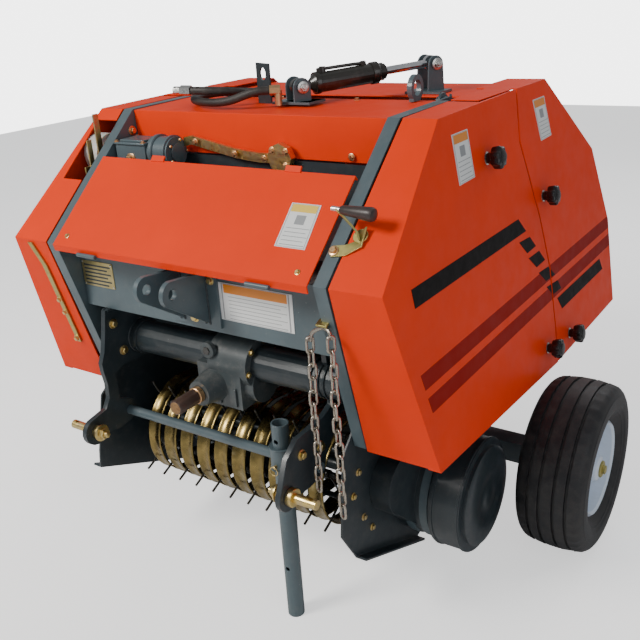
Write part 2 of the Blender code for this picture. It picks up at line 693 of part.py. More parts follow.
def rim(name, side):
    """Deep dished rim with hub; the dish opens outwards."""
    half = TYRE_W / 2 * 0.72
    r = RIM_R - GAP
    bore = AXLE_R + 0.0006
    profile = [(bore, -0.045), (0.034, -0.045), (0.034, -0.020), (0.085, -0.016), (r - 0.012, -0.030),
               (r - 0.012, -half + 0.002), (r, -half), (r, half), (r - 0.006, half + 0.006),
               (r - 0.012, half), (r - 0.014, -0.014), (0.085, 0.000), (0.036, 0.000),
               (0.036, 0.050), (bore, 0.050)]
    profile = [(a, side * b) for a, b in profile]
    made = combine(name, "rim", [lathe(profile, (side * WHEEL_X, WHEEL_Y, WHEEL_R), 44)])
    set_origin(made, (side * WHEEL_X, WHEEL_Y, WHEEL_R))
    return made


def roller(name):
    """Chamber roller with its shaft ends."""
    y, z = ROLLERS[name]
    adds = [disc(y, z, ROLLER_R, -ROLLER_X, ROLLER_X, 24), disc(y, z, 0.014, -0.3555, 0.3555, 16)]
    made = combine(name, "dark_grey", adds)
    set_origin(made, (0, y, z))
    return made


# ---- small fittings ----
def twine_drive():
    """Gear case and drum of the twine arm."""
    adds = [box(-0.362, -0.262, -0.425, -0.350, 1.045, 1.118),
            disc(-0.384, 1.098, 0.038, -0.264, -0.195, 24)]
    return combine("twine_drive", "frame_grey", adds)


def twine_arm():
    """Bent flat arm with a cam plate at its end."""
    path = [(-0.194, 1.118), (-0.170, 1.124), (-0.030, 1.098), (0.035, 1.092), (0.070, 1.092)]
    half = 0.011
    bm = bmesh.new()
    rows = []
    for x, z in path:
        rows.append([bm.verts.new((x, -0.352 + dy, z + dz))
                     for dy, dz in ((-0.004, -half), (0.004, -half), (0.004, half), (-0.004, half))])
    for near, far in zip(rows, rows[1:]):
        for i in range(4):
            j = (i + 1) % 4
            bm.faces.new((near[i], near[j], far[j], far[i]))
    bm.faces.new(rows[0])
    bm.faces.new(rows[-1])
    bmesh.ops.recalc_face_normals(bm, faces=bm.faces[:])
    cam = rod((0.100, -0.362, 1.095), (0.100, -0.344, 1.095), 0.034, 8)
    return combine("twine_arm", "zinc_gold", [bm, cam])


def tank():
    """Lubricant bottle under the right cover."""
    y, z = -0.376, 1.082
    adds = [disc(y, z, 0.052, -0.482, -0.434, 32), disc(y, z, 0.040, -0.488, -0.431, 32)]
    return combine("oil_bottle", "tank", adds)


def tension_lever():
    """Two upright flat bars and a link beside the right side plate."""
    adds = [box(-0.4270, -0.4225, -0.430, -0.414, 1.055, 1.190),
            box(-0.4270, -0.4225, -0.480, -0.416, 1.050, 1.066),
            box(-0.4270, -0.4225, -0.462, -0.448, 1.055, 1.130),
            disc(-0.425, 1.060, 0.006, -0.4300, -0.3803, 12)]
    return combine("tension_lever", "zinc_gold", adds)


def on_slope(x, t, out, start=NOSE, end=BROW):
    """A point at x, a share t of the way up a front slope, and out from it."""
    a, b = Vector(start), Vector(end)
    d = (b - a).normalized()
    n = Vector((-d.y, d.x))
    if n.x > 0:
        n = -n
    p = a + (b - a) * t + n * out
    return Vector((x, p.x, p.y))


def latch_bar():
    """Long flat bar down the right cover's lower front."""
    points = [(-0.470, 0.015), (-0.452, 0.16), (-0.455, 0.72)]
    rows = []
    bm = bmesh.new()
    for x, t in points:
        here = [on_slope(x + w, t, o, NOSE, CHIN) for w, o in
                ((-0.008, 0.0004), (0.008, 0.0004), (0.008, 0.0054), (-0.008, 0.0054))]
        rows.append([bm.verts.new(p) for p in here])
    for near, far in zip(rows, rows[1:]):
        for i in range(4):
            j = (i + 1) % 4
            bm.faces.new((near[i], near[j], far[j], far[i]))
    bm.faces.new(rows[0])
    bm.faces.new(rows[-1])
    bmesh.ops.recalc_face_normals(bm, faces=bm.faces[:])
    return combine("latch_bar", "zinc_gold", [bm])


def trip_lever():
    """Hand lever on the left flange: bent plate, strap, rod and tapered grip."""
    foot = on_slope(0.386, 0.195, 0.0086)
    knee = on_slope(0.432, 0.270, 0.0100)
    top = on_slope(0.400, 0.345, 0.0400)
    inner, outer = on_slope(0.376, 0.364, 0.046), on_slope(0.470, 0.352, 0.046)
    d = (outer - inner).normalized()
    adds = [rod(foot, knee, 0.008, 8), rod(knee, top, 0.006, 8), rod(inner, outer, 0.0055, 12),
            rod(inner + d * 0.022, inner + d * 0.098, 0.009, 16, 0.0142)]
    return combine("trip_lever", "zinc_gold", adds)


def safety_chains():
    """Two chains that hang from one plate, each as a slim bar through its links."""
    hook = Vector((0.378, -0.636, 0.815))
    adds = [box(0.366, 0.392, hook.y, -0.6220, hook.z - 0.003, hook.z + 0.003)]
    for x, low in ((0.351, 0.440), (0.405, 0.398)):
        bend = Vector((x, -0.640, 0.790))
        adds.append(rod(hook, bend, 0.008, 8))
        adds.append(rod(bend + Vector((0, 0, 0.002)), Vector((x, -0.640, low)), 0.008, 8))
    return combine("safety_chains", "steel", adds)


# ---- hose ----
HOSE_R = 0.010
HOSE_ROUTE = [
    (0.012, -0.262, 1.2320), (-0.012, -0.278, 1.2315), (-0.040, -0.290, 1.2240), (-0.080, -0.298, 1.2120),
    (-0.125, -0.300, 1.2065), (-0.180, -0.290, 1.2060), (-0.228, -0.262, 1.2060), (-0.262, -0.215, 1.2060),
    (-0.268, -0.160, 1.2060), (-0.245, -0.112, 1.2060), (-0.200, -0.096, 1.2060), (-0.150, -0.104, 1.2065),
    (-0.112, -0.140, 1.2090), (-0.095, -0.190, 1.2150), (-0.100, -0.235, 1.2235), (-0.125, -0.270, 1.2300),
    (-0.160, -0.292, 1.2330), (-0.200, -0.300, 1.2340)]


def smooth_route(points, steps):
    """Catmull-Rom curve through the points."""
    points = [Vector(p) for p in points]
    ends = [points[0] * 2 - points[1]] + points + [points[-1] * 2 - points[-2]]
    route = []
    for i in range(len(points) - 1):
        a, b, c, d = ends[i:i + 4]
        for s in range(steps):
            t = s / steps
            route.append(0.5 * (2 * b + (c - a) * t + (2 * a - 5 * b + 4 * c - d) * t ** 2
                                + (3 * b - a - 3 * c + d) * t ** 3))
    route.append(points[-1])
    return route


def hose():
    """Loose coil of hydraulic hose on the deck."""
    route = smooth_route(HOSE_ROUTE, 3)
    curve = bpy.data.curves.new("hydraulic_hose", "CURVE")
    curve.dimensions = "3D"
    curve.bevel_depth = HOSE_R
    curve.bevel_resolution = 2
    curve.use_fill_caps = True
    spline = curve.splines.new("POLY")
    spline.points.add(len(route) - 1)
    for point, place in zip(spline.points, route):
        point.co = (*place, 1.0)
    made = bpy.data.objects.new("hydraulic_hose", curve)
    bpy.context.scene.collection.objects.link(made)
    curve.materials.append(material("hose"))
    return made


def hose_coupler():
    """Screw coupling on the hose's free end."""
    route = smooth_route(HOSE_ROUTE, 3)
    end = route[-1]
    d = (end - route[-2]).normalized()
    adds = [rod(end + d * GAP, end + d * 0.030, 0.013, 6), rod(end + d * 0.028, end + d * 0.050, 0.010, 16)]
    return combine("hose_coupler", "zinc_gold", adds)


def hose_elbow():
    """Fixed elbow beside the clevis, where the hose starts."""
    route = smooth_route(HOSE_ROUTE, 3)
    start = route[0]
    d = (route[1] - start).normalized()
    adds = [rod(start - d * GAP, start - d * 0.026, 0.012, 6),
            rod(start - d * 0.020, start - d * 0.020 + Vector((0, 0, -0.0355)), 0.009, 12)]
    return combine("hose_elbow", "zinc_gold", adds)


def build():
    """Every piece; the tailgate's pieces hang from an empty on its hinge."""
    for item in list(bpy.data.objects):
        bpy.data.objects.remove(item)
    root = [side_frame("left_side_frame", 1), side_frame("right_side_frame", -1), front_beam(),
            top_link_bracket(), chamber_front_wall(), throat_pan(), chamber_floor(),
            top_deck(), lifting_eye(),
            front_cover("left_front_cover", 1), front_cover("right_front_cover", -1), cylinder_base(),
            hitch_arm("left_hitch_arm", 1), hitch_arm("right_hitch_arm", -1),
            hitch_pin("left_hitch_pin", 1), hitch_pin("right_hitch_pin", -1), hitch_bar(),
            cross_tube(), gearbox(), drive_guard(), pickup_bands(),
            pickup_side("left_pickup_side", 1), pickup_side("right_pickup_side", -1), axle_beam(),
            twine_drive(), twine_arm(), tank(), tension_lever(), latch_bar(), trip_lever(),
            safety_chains(), hose(), hose_coupler(), hose_elbow()]
    gate = [gate_side("left_tailgate_side", 1), gate_side("right_tailgate_side", -1), gate_shell(),
            rear_cover("left_rear_cover", 1), rear_cover("right_rear_cover", -1), rod_bracket()]
    hinge = bpy.data.objects.new("tailgate_hinge", None)
    hinge.location = (0, *HINGE)
    bpy.context.scene.collection.objects.link(hinge)
    gate.append(roller("rear_roller"))
    for piece in gate:
        piece.parent = hinge
        piece.matrix_parent_inverse = Matrix.Translation(hinge.location).inverted()
    moving = [hood(), cylinder_barrel(), cylinder_rod(), input_shaft(), parking_stand(), pickup_reel(),
              roller("front_roller"), roller("throat_roller")]
    for side, name in ((1, "left"), (-1, "right")):
        moving += [tyre(name + "_tyre", side), rim(name + "_rim", side)]
    return root + gate + moving


build()
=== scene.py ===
import json
import math
import random

import bmesh
import bpy
from mathutils import Matrix, Vector


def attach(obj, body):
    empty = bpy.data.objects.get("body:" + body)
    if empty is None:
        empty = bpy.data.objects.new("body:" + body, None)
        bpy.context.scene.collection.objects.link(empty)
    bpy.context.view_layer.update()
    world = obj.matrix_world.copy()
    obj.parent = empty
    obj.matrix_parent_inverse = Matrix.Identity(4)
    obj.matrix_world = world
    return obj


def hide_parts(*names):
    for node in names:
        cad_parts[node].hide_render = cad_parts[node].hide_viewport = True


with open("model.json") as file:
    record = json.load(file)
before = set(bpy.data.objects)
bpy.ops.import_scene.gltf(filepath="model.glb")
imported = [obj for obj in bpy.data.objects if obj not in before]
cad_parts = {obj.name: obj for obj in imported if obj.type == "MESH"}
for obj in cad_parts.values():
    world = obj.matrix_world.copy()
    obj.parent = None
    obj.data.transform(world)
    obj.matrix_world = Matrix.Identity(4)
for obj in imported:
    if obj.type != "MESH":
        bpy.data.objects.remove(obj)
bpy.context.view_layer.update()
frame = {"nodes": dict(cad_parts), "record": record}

NODES = frame["nodes"]
random.seed(7)

FRONT, BACK = Vector((0, -1, 0)), Vector((0, 1, 0))
LEFT, RIGHT = Vector((1, 0, 0)), Vector((-1, 0, 0))
UP, DOWN = Vector((0, 0, 1)), Vector((0, 0, -1))
SIDES = ((1, "left"), (-1, "right"))
CORNERS = ((-1, -1), (1, -1), (1, 1), (-1, 1))

# ---- camera
EYE = Vector((1.23615, -1.85959, 1.44749))
AZIMUTH, ELEVATION, ROLL = 0.613169, 0.385877, -0.066624
FOCAL_PX, CENTRE_PX, FRAME_PX = 820.829, (-0.553, 2.794), 640
SENSOR_MM = 36.0

# The camera looks along the measured direction, with a slight roll
back = Vector((math.sin(AZIMUTH) * math.cos(ELEVATION),
               -math.cos(AZIMUTH) * math.cos(ELEVATION), math.sin(ELEVATION)))
right = (-back).cross(UP).normalized()
up = right.cross(-back)
c, s = math.cos(ROLL), math.sin(ROLL)
right, up = right * c + up * s, up * c - right * s
data = bpy.data.cameras.new("camera")
data.sensor_width = SENSOR_MM
data.lens = FOCAL_PX / FRAME_PX * SENSOR_MM
data.shift_x = -CENTRE_PX[0] / FRAME_PX
data.shift_y = CENTRE_PX[1] / FRAME_PX
data.clip_start = 0.05
camera = bpy.data.objects.new("camera", data)
camera.matrix_world = Matrix((
    (right.x, up.x, back.x, EYE.x), (right.y, up.y, back.y, EYE.y),
    (right.z, up.z, back.z, EYE.z), (0, 0, 0, 1)))
bpy.context.scene.collection.objects.link(camera)
bpy.context.scene.camera = camera


# ---- materials
DUST, BARE, MUD = (0.34, 0.31, 0.27), (0.55, 0.56, 0.56), (0.23, 0.21, 0.18)


def node_tree(name):
    made = bpy.data.materials.new(name)
    made.use_nodes = True
    tree = made.node_tree
    return made, tree, tree.nodes["Principled BSDF"]


def add(tree, kind, **values):
    node = tree.nodes.new(kind)
    for key, value in values.items():
        if key in node.inputs:
            node.inputs[key].default_value = value
        else:
            setattr(node, key, value)
    return node


def noise(tree, scale, detail=3.0, roughness=0.55):
    """Noise in metres of the shared frame."""
    place = add(tree, "ShaderNodeTexCoord")
    made = add(tree, "ShaderNodeTexNoise", Scale=scale, Detail=detail, Roughness=roughness)
    tree.links.new(place.outputs["Object"], made.inputs["Vector"])
    return made.outputs["Fac"]


def ramp(tree, source, stops):
    made = add(tree, "ShaderNodeValToRGB")
    elements = made.color_ramp.elements
    while len(elements) < len(stops):
        elements.new(0.5)
    for element, (at, colour) in zip(elements, stops):
        element.position = at
        element.color = (*colour, 1.0)
    tree.links.new(source, made.inputs["Fac"])
    return made.outputs["Color"]


def spread(tree, source, low, high, start=0.3, end=0.7):
    """The source from start to end, taken to low to high."""
    made = add(tree, "ShaderNodeMapRange")
    for key, value in (("From Min", start), ("From Max", end), ("To Min", low), ("To Max", high)):
        made.inputs[key].default_value = value
    tree.links.new(source, made.inputs["Value"])
    return made.outputs["Result"]


def roughen(tree, shader, source, low, high):
    tree.links.new(spread(tree, source, low, high), shader.inputs["Roughness"])


def bump(tree, shader, source, strength, distance=0.001):
    made = add(tree, "ShaderNodeBump", Strength=strength, Distance=distance)
    tree.links.new(source, made.inputs["Height"])
    tree.links.new(made.outputs["Normal"], shader.inputs["Normal"])


def shade(colour, factor):
    return tuple(min(1.0, c * factor) for c in colour)


def cover_with(tree, factor, base, colour):
    """The base's colour with another laid over it by the factor."""
    made = add(tree, "ShaderNodeMix", data_type="RGBA")
    tree.links.new(factor, made.inputs["Factor"])
    tree.links.new(base, made.inputs["A"])
    made.inputs["B"].default_value = (*colour, 1.0)
    return made.outputs["Result"]


def paint(name, colour, rough, coat, drift, peel, dust=0.0, chips=0.0):
    """Enamel: slow colour drift, orange peel, a little dust and worn specks."""
    made, tree, shader = node_tree(name)
    base = ramp(tree, noise(tree, 5.0, 4.0),
                [(0.3, shade(colour, 1 - drift)), (0.55, colour), (0.75, shade(colour, 1 + drift))])
    if dust:
        specks = noise(tree, 38.0, 6.0, 0.7)
        base = cover_with(tree, spread(tree, specks, 0.0, dust, 0.5, 0.72), base, DUST)
    if chips:
        flakes = noise(tree, 120.0, 4.0, 0.6)
        base = cover_with(tree, spread(tree, flakes, 0.0, chips, 0.7, 0.74), base, BARE)
    tree.links.new(base, shader.inputs["Base Color"])
    roughen(tree, shader, noise(tree, 22.0, 5.0), rough - 0.05, rough + 0.09)
    shader.inputs["Coat Weight"].default_value = coat
    shader.inputs["Coat Roughness"].default_value = 0.16
    bump(tree, shader, noise(tree, 420.0, 2.0), peel, 0.0006)
    return made


def metal(name, colours, rough, grain, scale, metallic=1.0):
    """Metal or plating that drifts through the colours in patches."""
    made, tree, shader = node_tree(name)
    stops = [(0.25 + 0.5 * i / (len(colours) - 1), c) for i, c in enumerate(colours)]
    tree.links.new(ramp(tree, noise(tree, scale, 4.0, 0.6), stops), shader.inputs["Base Color"])
    roughen(tree, shader, noise(tree, scale * 2.2, 4.0, 0.6), rough - 0.06, rough + 0.14)
    shader.inputs["Metallic"].default_value = metallic
    bump(tree, shader, noise(tree, 500.0, 3.0, 0.6), grain, 0.0006)
    return made


def rubber(name, colour, rough, grain, dust):
    """Rubber, film or moulded plastic, dusty in specks."""
    made, tree, shader = node_tree(name)
    specks = noise(tree, 30.0, 7.0, 0.7)
    base = cover_with(tree, spread(tree, specks, 0.0, dust, 0.42, 0.72),
                      ramp(tree, noise(tree, 9.0),
                           [(0.3, shade(colour, 0.8)), (0.7, shade(colour, 1.25))]), MUD)
    tree.links.new(base, shader.inputs["Base Color"])
    roughen(tree, shader, specks, rough - 0.1, rough + 0.1)
    bump(tree, shader, noise(tree, 260.0, 4.0), grain, 0.0015)
    return made


def dull(material, level):
    """The same material with a weaker highlight."""
    shader = material.node_tree.nodes["Principled BSDF"]
    shader.inputs["Specular IOR Level"].default_value = level
    return material


def tank_plastic():
    made, tree, shader = node_tree("tank_plastic")
    tree.links.new(ramp(tree, noise(tree, 12.0), [(0.3, (0.5, 0.48, 0.45)), (0.7, (0.68, 0.66, 0.63))]),
                   shader.inputs["Base Color"])
    roughen(tree, shader, noise(tree, 60.0), 0.32, 0.46)
    shader.inputs["Subsurface Weight"].default_value = 0.15
    bump(tree, shader, noise(tree, 160.0), 0.05)
    return made


# name, colour, roughness, coat, colour drift, orange peel, dust, worn specks
ORANGE = dull(paint("orange_enamel", (0.86, 0.04, 0.0002), 0.48, 0.04, 0.05, 0.04), 0.15)
FRAME = paint("frame_enamel", (0.082, 0.118, 0.134), 0.38, 0.22, 0.16, 0.1, 0.07, 0.25)
DARK = paint("dark_frame_enamel", (0.02, 0.03, 0.036), 0.38, 0.25, 0.25, 0.12, 0.06, 0.2)
CAST = paint("cast_case_enamel", (0.055, 0.068, 0.072), 0.42, 0.2, 0.3, 0.5, 0.22, 0.2)
BLACK = paint("cylinder_enamel", (0.02, 0.018, 0.014), 0.3, 0.45, 0.3, 0.06, 0.1, 0.1)
RIM_WHITE = paint("rim_enamel", (0.74, 0.82, 0.93), 0.34, 0.3, 0.05, 0.05, 0.06)
RED_BAND = dull(paint("red_band_film", (0.3, 0.006, 0.001), 0.55, 0.0, 0.05, 0.03), 0.12)
WHITE = paint("plate_white", (0.78, 0.79, 0.78), 0.42, 0.15, 0.03, 0.02)
GREY_LINE = paint("plate_grey", (0.3, 0.31, 0.32), 0.45, 0.1, 0.05, 0.02)
AMBER = paint("plate_amber", (0.8, 0.26, 0.02), 0.42, 0.15, 0.04, 0.02)
YELLOW = paint("plate_yellow", (0.82, 0.56, 0.08), 0.42, 0.15, 0.04, 0.02)
# name, colours, roughness, grain, noise scale, metallic
GOLD = metal("yellow_zinc", [(0.6, 0.46, 0.16), (0.74, 0.55, 0.2), (0.62, 0.5, 0.26),
                             (0.72, 0.44, 0.2)], 0.32, 0.06, 55.0)
OLIVE = metal("olive_zinc", [(0.4, 0.36, 0.12), (0.52, 0.45, 0.17), (0.46, 0.42, 0.16)],
              0.38, 0.06, 30.0)
BAND = metal("band_zinc", [(0.13, 0.095, 0.03), (0.3, 0.22, 0.08), (0.2, 0.15, 0.055),
                           (0.44, 0.36, 0.18)], 0.24, 0.05, 18.0)
RUST = metal("rusty_steel", [(0.16, 0.07, 0.03), (0.34, 0.2, 0.09), (0.24, 0.13, 0.06)],
             0.5, 0.2, 80.0, 0.7)
STEEL = metal("bright_steel", [(0.5, 0.5, 0.48), (0.68, 0.67, 0.64), (0.58, 0.57, 0.55)],
              0.27, 0.05, 60.0)
CHROME = metal("chrome", [(0.74, 0.75, 0.76), (0.82, 0.82, 0.82)], 0.12, 0.01, 30.0)
COPPER = metal("copper_zinc", [(0.72, 0.36, 0.18), (0.8, 0.5, 0.26), (0.62, 0.34, 0.16)],
               0.3, 0.05, 60.0)
CHAIN = metal("chain_steel", [(0.24, 0.21, 0.17), (0.5, 0.45, 0.38), (0.34, 0.3, 0.24)],
              0.26, 0.06, 90.0)
BRASS = metal("plate_brass", [(0.42, 0.34, 0.14), (0.6, 0.5, 0.24), (0.34, 0.27, 0.11)],
              0.34, 0.04, 24.0)
# name, colour, roughness, grain, dust
BROWN = rubber("shaft_cap", (0.07, 0.038, 0.028), 0.45, 0.2, 0.2)
TYRE = rubber("tyre_rubber", (0.013, 0.013, 0.015), 0.56, 0.3, 0.13)
HOSE = rubber("hose_rubber", (0.02, 0.015, 0.013), 0.55, 0.5, 0.15)
KNOB = rubber("knob_plastic", (0.008, 0.008, 0.009), 0.28, 0.04, 0.05)
GRIP = rubber("grip_plastic", (0.035, 0.024, 0.022), 0.42, 0.1, 0.15)
STRIPE = dull(rubber("stripe_film", (0.006, 0.004, 0.004), 0.6, 0.02, 0.0), 0.15)
TANK = tank_plastic()


# ---- mesh helpers
def circle(count, radius, start=0.0):
    """So many points round a circle, as pairs."""
    angles = [2 * math.pi * i / count + start for i in range(count)]
    return [(radius * math.cos(a), radius * math.sin(a)) for a in angles]


def skinned(rings, closed=False):
    """A skin over rings of points, with its ends capped, or the last ring joined to the first."""
    bm = bmesh.new()
    rings = [[bm.verts.new(p) for p in ring] for ring in rings]
    sides = len(rings[0])
    pairs = [(near, far, 0) for near, far in zip(rings, rings[1:])]
    if closed:
        near, far = rings[-1], rings[0]
        shift = min(range(sides), key=lambda s: (near[0].co - far[s].co).length)
        pairs.append((near, far, shift))
    for near, far, shift in pairs:
        for i in range(sides):
            j = (i + 1) % sides
            bm.faces.new((near[i], near[j], far[(j + shift) % sides], far[(i + shift) % sides]))
    if not closed:
        bm.faces.new(list(reversed(rings[0])))
        bm.faces.new(rings[-1])
    bmesh.ops.recalc_face_normals(bm, faces=bm.faces[:])
    return bm


def prism(outline, x0, x1):
    """A (y, z) outline pushed from x0 to x1."""
    return skinned([[(x, y, z) for y, z in outline] for x in (x0, x1)])


def box(x0, x1, y0, y1, z0, z1):
    return prism([(y0, z0), (y1, z0), (y1, z1), (y0, z1)], x0, x1)


def basis(direction):
    """Rotation that takes +Z to direction; X is level."""
    z = Vector(direction).normalized()
    hint = LEFT if abs(z.z) > 0.98 else UP
    x = hint.cross(z).normalized()
    y = z.cross(x)
    return Matrix((x, y, z)).transposed().to_4x4()


def turned(profile, start, direction, steps=24, flutes=0, depth=0.0):
    """A (height, radius) profile turned about a line; flutes wave its outer part."""
    place = Matrix.Translation(Vector(start)) @ basis(direction)
    waved = 0.6 * max(r for _, r in profile)
    rings = []
    for h, r in profile:
        ring = []
        for i in range(steps):
            a = 2 * math.pi * i / steps
            wave = 1 + depth * math.cos(flutes * a) if flutes and r > waved else 1
            ring.append(place @ Vector((r * wave * math.cos(a), r * wave * math.sin(a), h)))
        rings.append(ring)
    return skinned(rings)


def rod(start, end, radius, sides=16):
    """A round bar with softened ends."""
    start, end = Vector(start), Vector(end)
    length = (end - start).length
    edge = min(0.12 * radius, length / 3)
    profile = [(0, radius - edge), (edge, radius), (length - edge, radius), (length, radius - edge)]
    return turned(profile, start, end - start, sides)


def sweep(points, radius, sides=10, closed=False):
    """A round tube along a line of points; radius may be a function of the index."""
    points = [Vector(p) for p in points]
    count = len(points)
    tangents = []
    for i in range(count):
        a = points[i - 1] if closed or i else points[i]
        b = points[(i + 1) % count] if closed or i < count - 1 else points[i]
        tangents.append((b - a).normalized())
    normal = tangents[0].orthogonal().normalized()
    rings = []
    for i, (p, t) in enumerate(zip(points, tangents)):
        normal = (normal - t * normal.dot(t)).normalized()
        side = t.cross(normal)
        r = radius(i) if callable(radius) else radius
        rings.append([p + (normal * u + side * v) * r for u, v in circle(sides, 1.0)])
    return skinned(rings, closed)


def strap(points, width_dir, width, thickness):
    """A flat bar along a line of points, its width along width_dir."""
    points = [Vector(p) for p in points]
    rings = []
    for i, p in enumerate(points):
        a, b = points[max(i - 1, 0)], points[min(i + 1, len(points) - 1)]
        t = (b - a).normalized()
        w = Vector(width_dir)
        w = (w - t * w.dot(t)).normalized()
        n = t.cross(w)
        rings.append([p + w * (width / 2 * u) + n * (thickness / 2 * v)
                      for u, v in CORNERS])
    return skinned(rings)


def film(points, lift=0.0006):
    """A thin closed sheet over a polygon of points, each given with its outward normal."""
    sink = 0.0004
    return skinned([[p + n * height for p, n in points] for height in (-sink, lift)])


def smooth_route(points, steps):
    """Catmull-Rom curve through the points."""
    points = [Vector(p) for p in points]
    ends = [points[0] * 2 - points[1]] + points + [points[-1] * 2 - points[-2]]
    route = []
    for i in range(len(points) - 1):
        a, b, c, d = ends[i:i + 4]
        for s in range(steps):
            t = s / steps
            route.append(0.5 * (2 * b + (c - a) * t + (2 * a - 5 * b + 4 * c - d) * t ** 2
                                + (3 * b - a - 3 * c + d) * t ** 3))
    route.append(points[-1])
    return route


def hex_bolt(seat, direction, size, thread=0.0, washer=True):
    """Hex head on a washer, standing on seat; thread adds a stub beyond the head."""
    bms = []
    base = 0.0
    if washer:
        base = size * 0.12
        bms.append(turned([(-0.0006, size * 0.72), (base * 0.8, size * 0.72), (base, size * 0.68)],
                          seat, direction, 20))
    top = base + size * 0.42
    bms.append(turned([(base * 0.5, size * 0.5), (top - size * 0.06, size * 0.5), (top, size * 0.42)],
                      seat, direction, 6))
    if thread:
        bms.append(turned([(top * 0.5, size * 0.25), (top + thread, size * 0.25),
                           (top + thread + 0.001, size * 0.2)], seat, direction, 12))
    return bms


def joined(bms):
    """One bmesh from several."""
    out = bmesh.new()
    for bm in bms:
        mesh = bpy.data.meshes.new("part")
        bm.to_mesh(mesh)
        bm.free()
        out.from_mesh(mesh)
        bpy.data.meshes.remove(mesh)
    return out


def piece(name, bms, material, body="baler", bevel=0.0, angle=35, replaces=()):
    """A finished piece that rides on a body, in the given material."""
    bm = joined(bms)
    mesh = bpy.data.meshes.new(name)
    bm.to_mesh(mesh)
    bm.free()
    made = bpy.data.objects.new(name, mesh)
    bpy.context.scene.collection.objects.link(made)
    mesh.materials.append(material)
    if bevel:
        modifier = made.modifiers.new("Edges", "BEVEL")
        modifier.width = bevel
        modifier.segments = 2
        modifier.limit_method = "ANGLE"
        modifier.angle_limit = math.radians(40)
    mesh.shade_smooth()
    mesh.set_sharp_from_angle(angle=math.radians(angle))
    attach(made, body)
    if replaces:
        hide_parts(*replaces)
    return made


def bolts(name, rows, material, body="baler"):
    """Hex bolts as one piece; each row is what hex_bolt takes."""
    return piece(name, [bm for row in rows for bm in hex_bolt(*row)], material, body)


# ---- hose
HOSE_R = 0.01
HOSE_ROUTE = [
    (0.012, -0.262, 1.2320), (-0.012, -0.278, 1.2315), (-0.040, -0.290, 1.2240), (-0.080, -0.298, 1.2120),
    (-0.125, -0.300, 1.2065), (-0.180, -0.290, 1.2060), (-0.228, -0.262, 1.2060), (-0.262, -0.215, 1.2060),
    (-0.268, -0.160, 1.2060), (-0.245, -0.112, 1.2060), (-0.200, -0.096, 1.2060), (-0.150, -0.104, 1.2065),
    (-0.112, -0.140, 1.2090), (-0.095, -0.190, 1.2150), (-0.100, -0.235, 1.2235), (-0.125, -0.270, 1.2300),
    (-0.160, -0.292, 1.2330), (-0.200, -0.300, 1.2340)]

hose_path = smooth_route(HOSE_ROUTE, 18)
hose = piece("hydraulic_hose_braided", [sweep(hose_path, lambda i: HOSE_R * (1.0 if i % 2 else 0.955), 16)],
             HOSE, angle=80, replaces=["hydraulic_hose"])


# ---- CAD nodes
BODY_OF = {node: body for body, nodes in frame["record"]["behaviour"]["bodies"].items() for node in nodes}


def softened(node, material, width):
    """The CAD node's own shape with its edges rounded."""
    bm = bmesh.new()
    bm.from_mesh(NODES[node].data)
    bmesh.ops.remove_doubles(bm, verts=bm.verts[:], dist=1e-5)
    bmesh.ops.dissolve_limit(bm, angle_limit=math.radians(1.0), verts=bm.verts[:], edges=bm.edges[:])
    return piece(node + "_finished", [bm], material, BODY_OF[node], bevel=width,
                 replaces=[node])


def both(*names):
    return [word + "_" + name for name in names for _, word in SIDES]


for material, names in (
        (DARK, ["chamber_front_wall", "front_roller", "throat_roller", "rear_roller", "cross_tube",
                "throat_pan", "chamber_floor"]),
        (BLACK, ["cylinder_barrel"]), (CHROME, ["cylinder_rod"]), (STEEL, ["hose_coupler"]),
        (COPPER, ["hose_elbow"]), (GOLD, both("hitch_pin") + ["tension_lever", "twine_arm"]),
        (TANK, ["oil_bottle"]), (RIM_WHITE, both("rim")), (FRAME, ["lifting_eye"])):
    for name in names:
        NODES[name].data.materials.clear()
        NODES[name].data.materials.append(material)

for material, width, names in (
        (ORANGE, 0.001, both("front_cover", "rear_cover") + ["hood", "top_deck", "tailgate_shell"]),
        (FRAME, 0.0012, ["top_link_bracket", "cylinder_base", "rod_bracket"] + both("side_frame")
         + ["front_beam", "hitch_bar", "parking_stand", "axle_beam", "twine_drive"] + both("tailgate_side")),
        (DARK, 0.0014, both("hitch_arm") + ["drive_guard"] + both("pickup_side")),
        (CAST, 0.003, ["gearbox"]), (OLIVE, 0.0008, ["latch_bar"])):
    for name in names:
        softened(name, material, width)


# ---- running gear
WHEEL = Vector((0.69, 0.06, 0.23))
TYRE_R, CROWN_DROP, CROWN_HALF, GROOVE = 0.2298, 0.0085, 0.0745, 0.0065
SIPE, NICK = 0.0028, 0.0012


def crown(x):
    """The tread's radius at x from the tyre's middle."""
    return TYRE_R - CROWN_DROP * (abs(x) / CROWN_HALF) ** 2.2


def tread_profile():
    """Outline of the tyre as (x, radius), from one bead to the other."""
    half = [(0.0635, 0.1302), (0.07, 0.14), (0.079, 0.152), (0.08, 0.1545), (0.0825, 0.156),
            (0.085, 0.164), (0.0862, 0.165), (0.0885, 0.17), (0.0895, 0.185), (0.088, 0.198),
            (0.0868, 0.199), (0.085, 0.206), (0.08, 0.214), (0.0745, 0.219),
            (0.069, crown(0.069)), (0.054, crown(0.054))]
    for centre in (0.048, 0.018):
        top = crown(centre)
        half += [(centre + 0.0042, top), (centre + 0.003, top - GROOVE),
                 (centre - 0.003, top - GROOVE), (centre - 0.0042, top)]
    return half + [(-x, r) for x, r in reversed(half)]


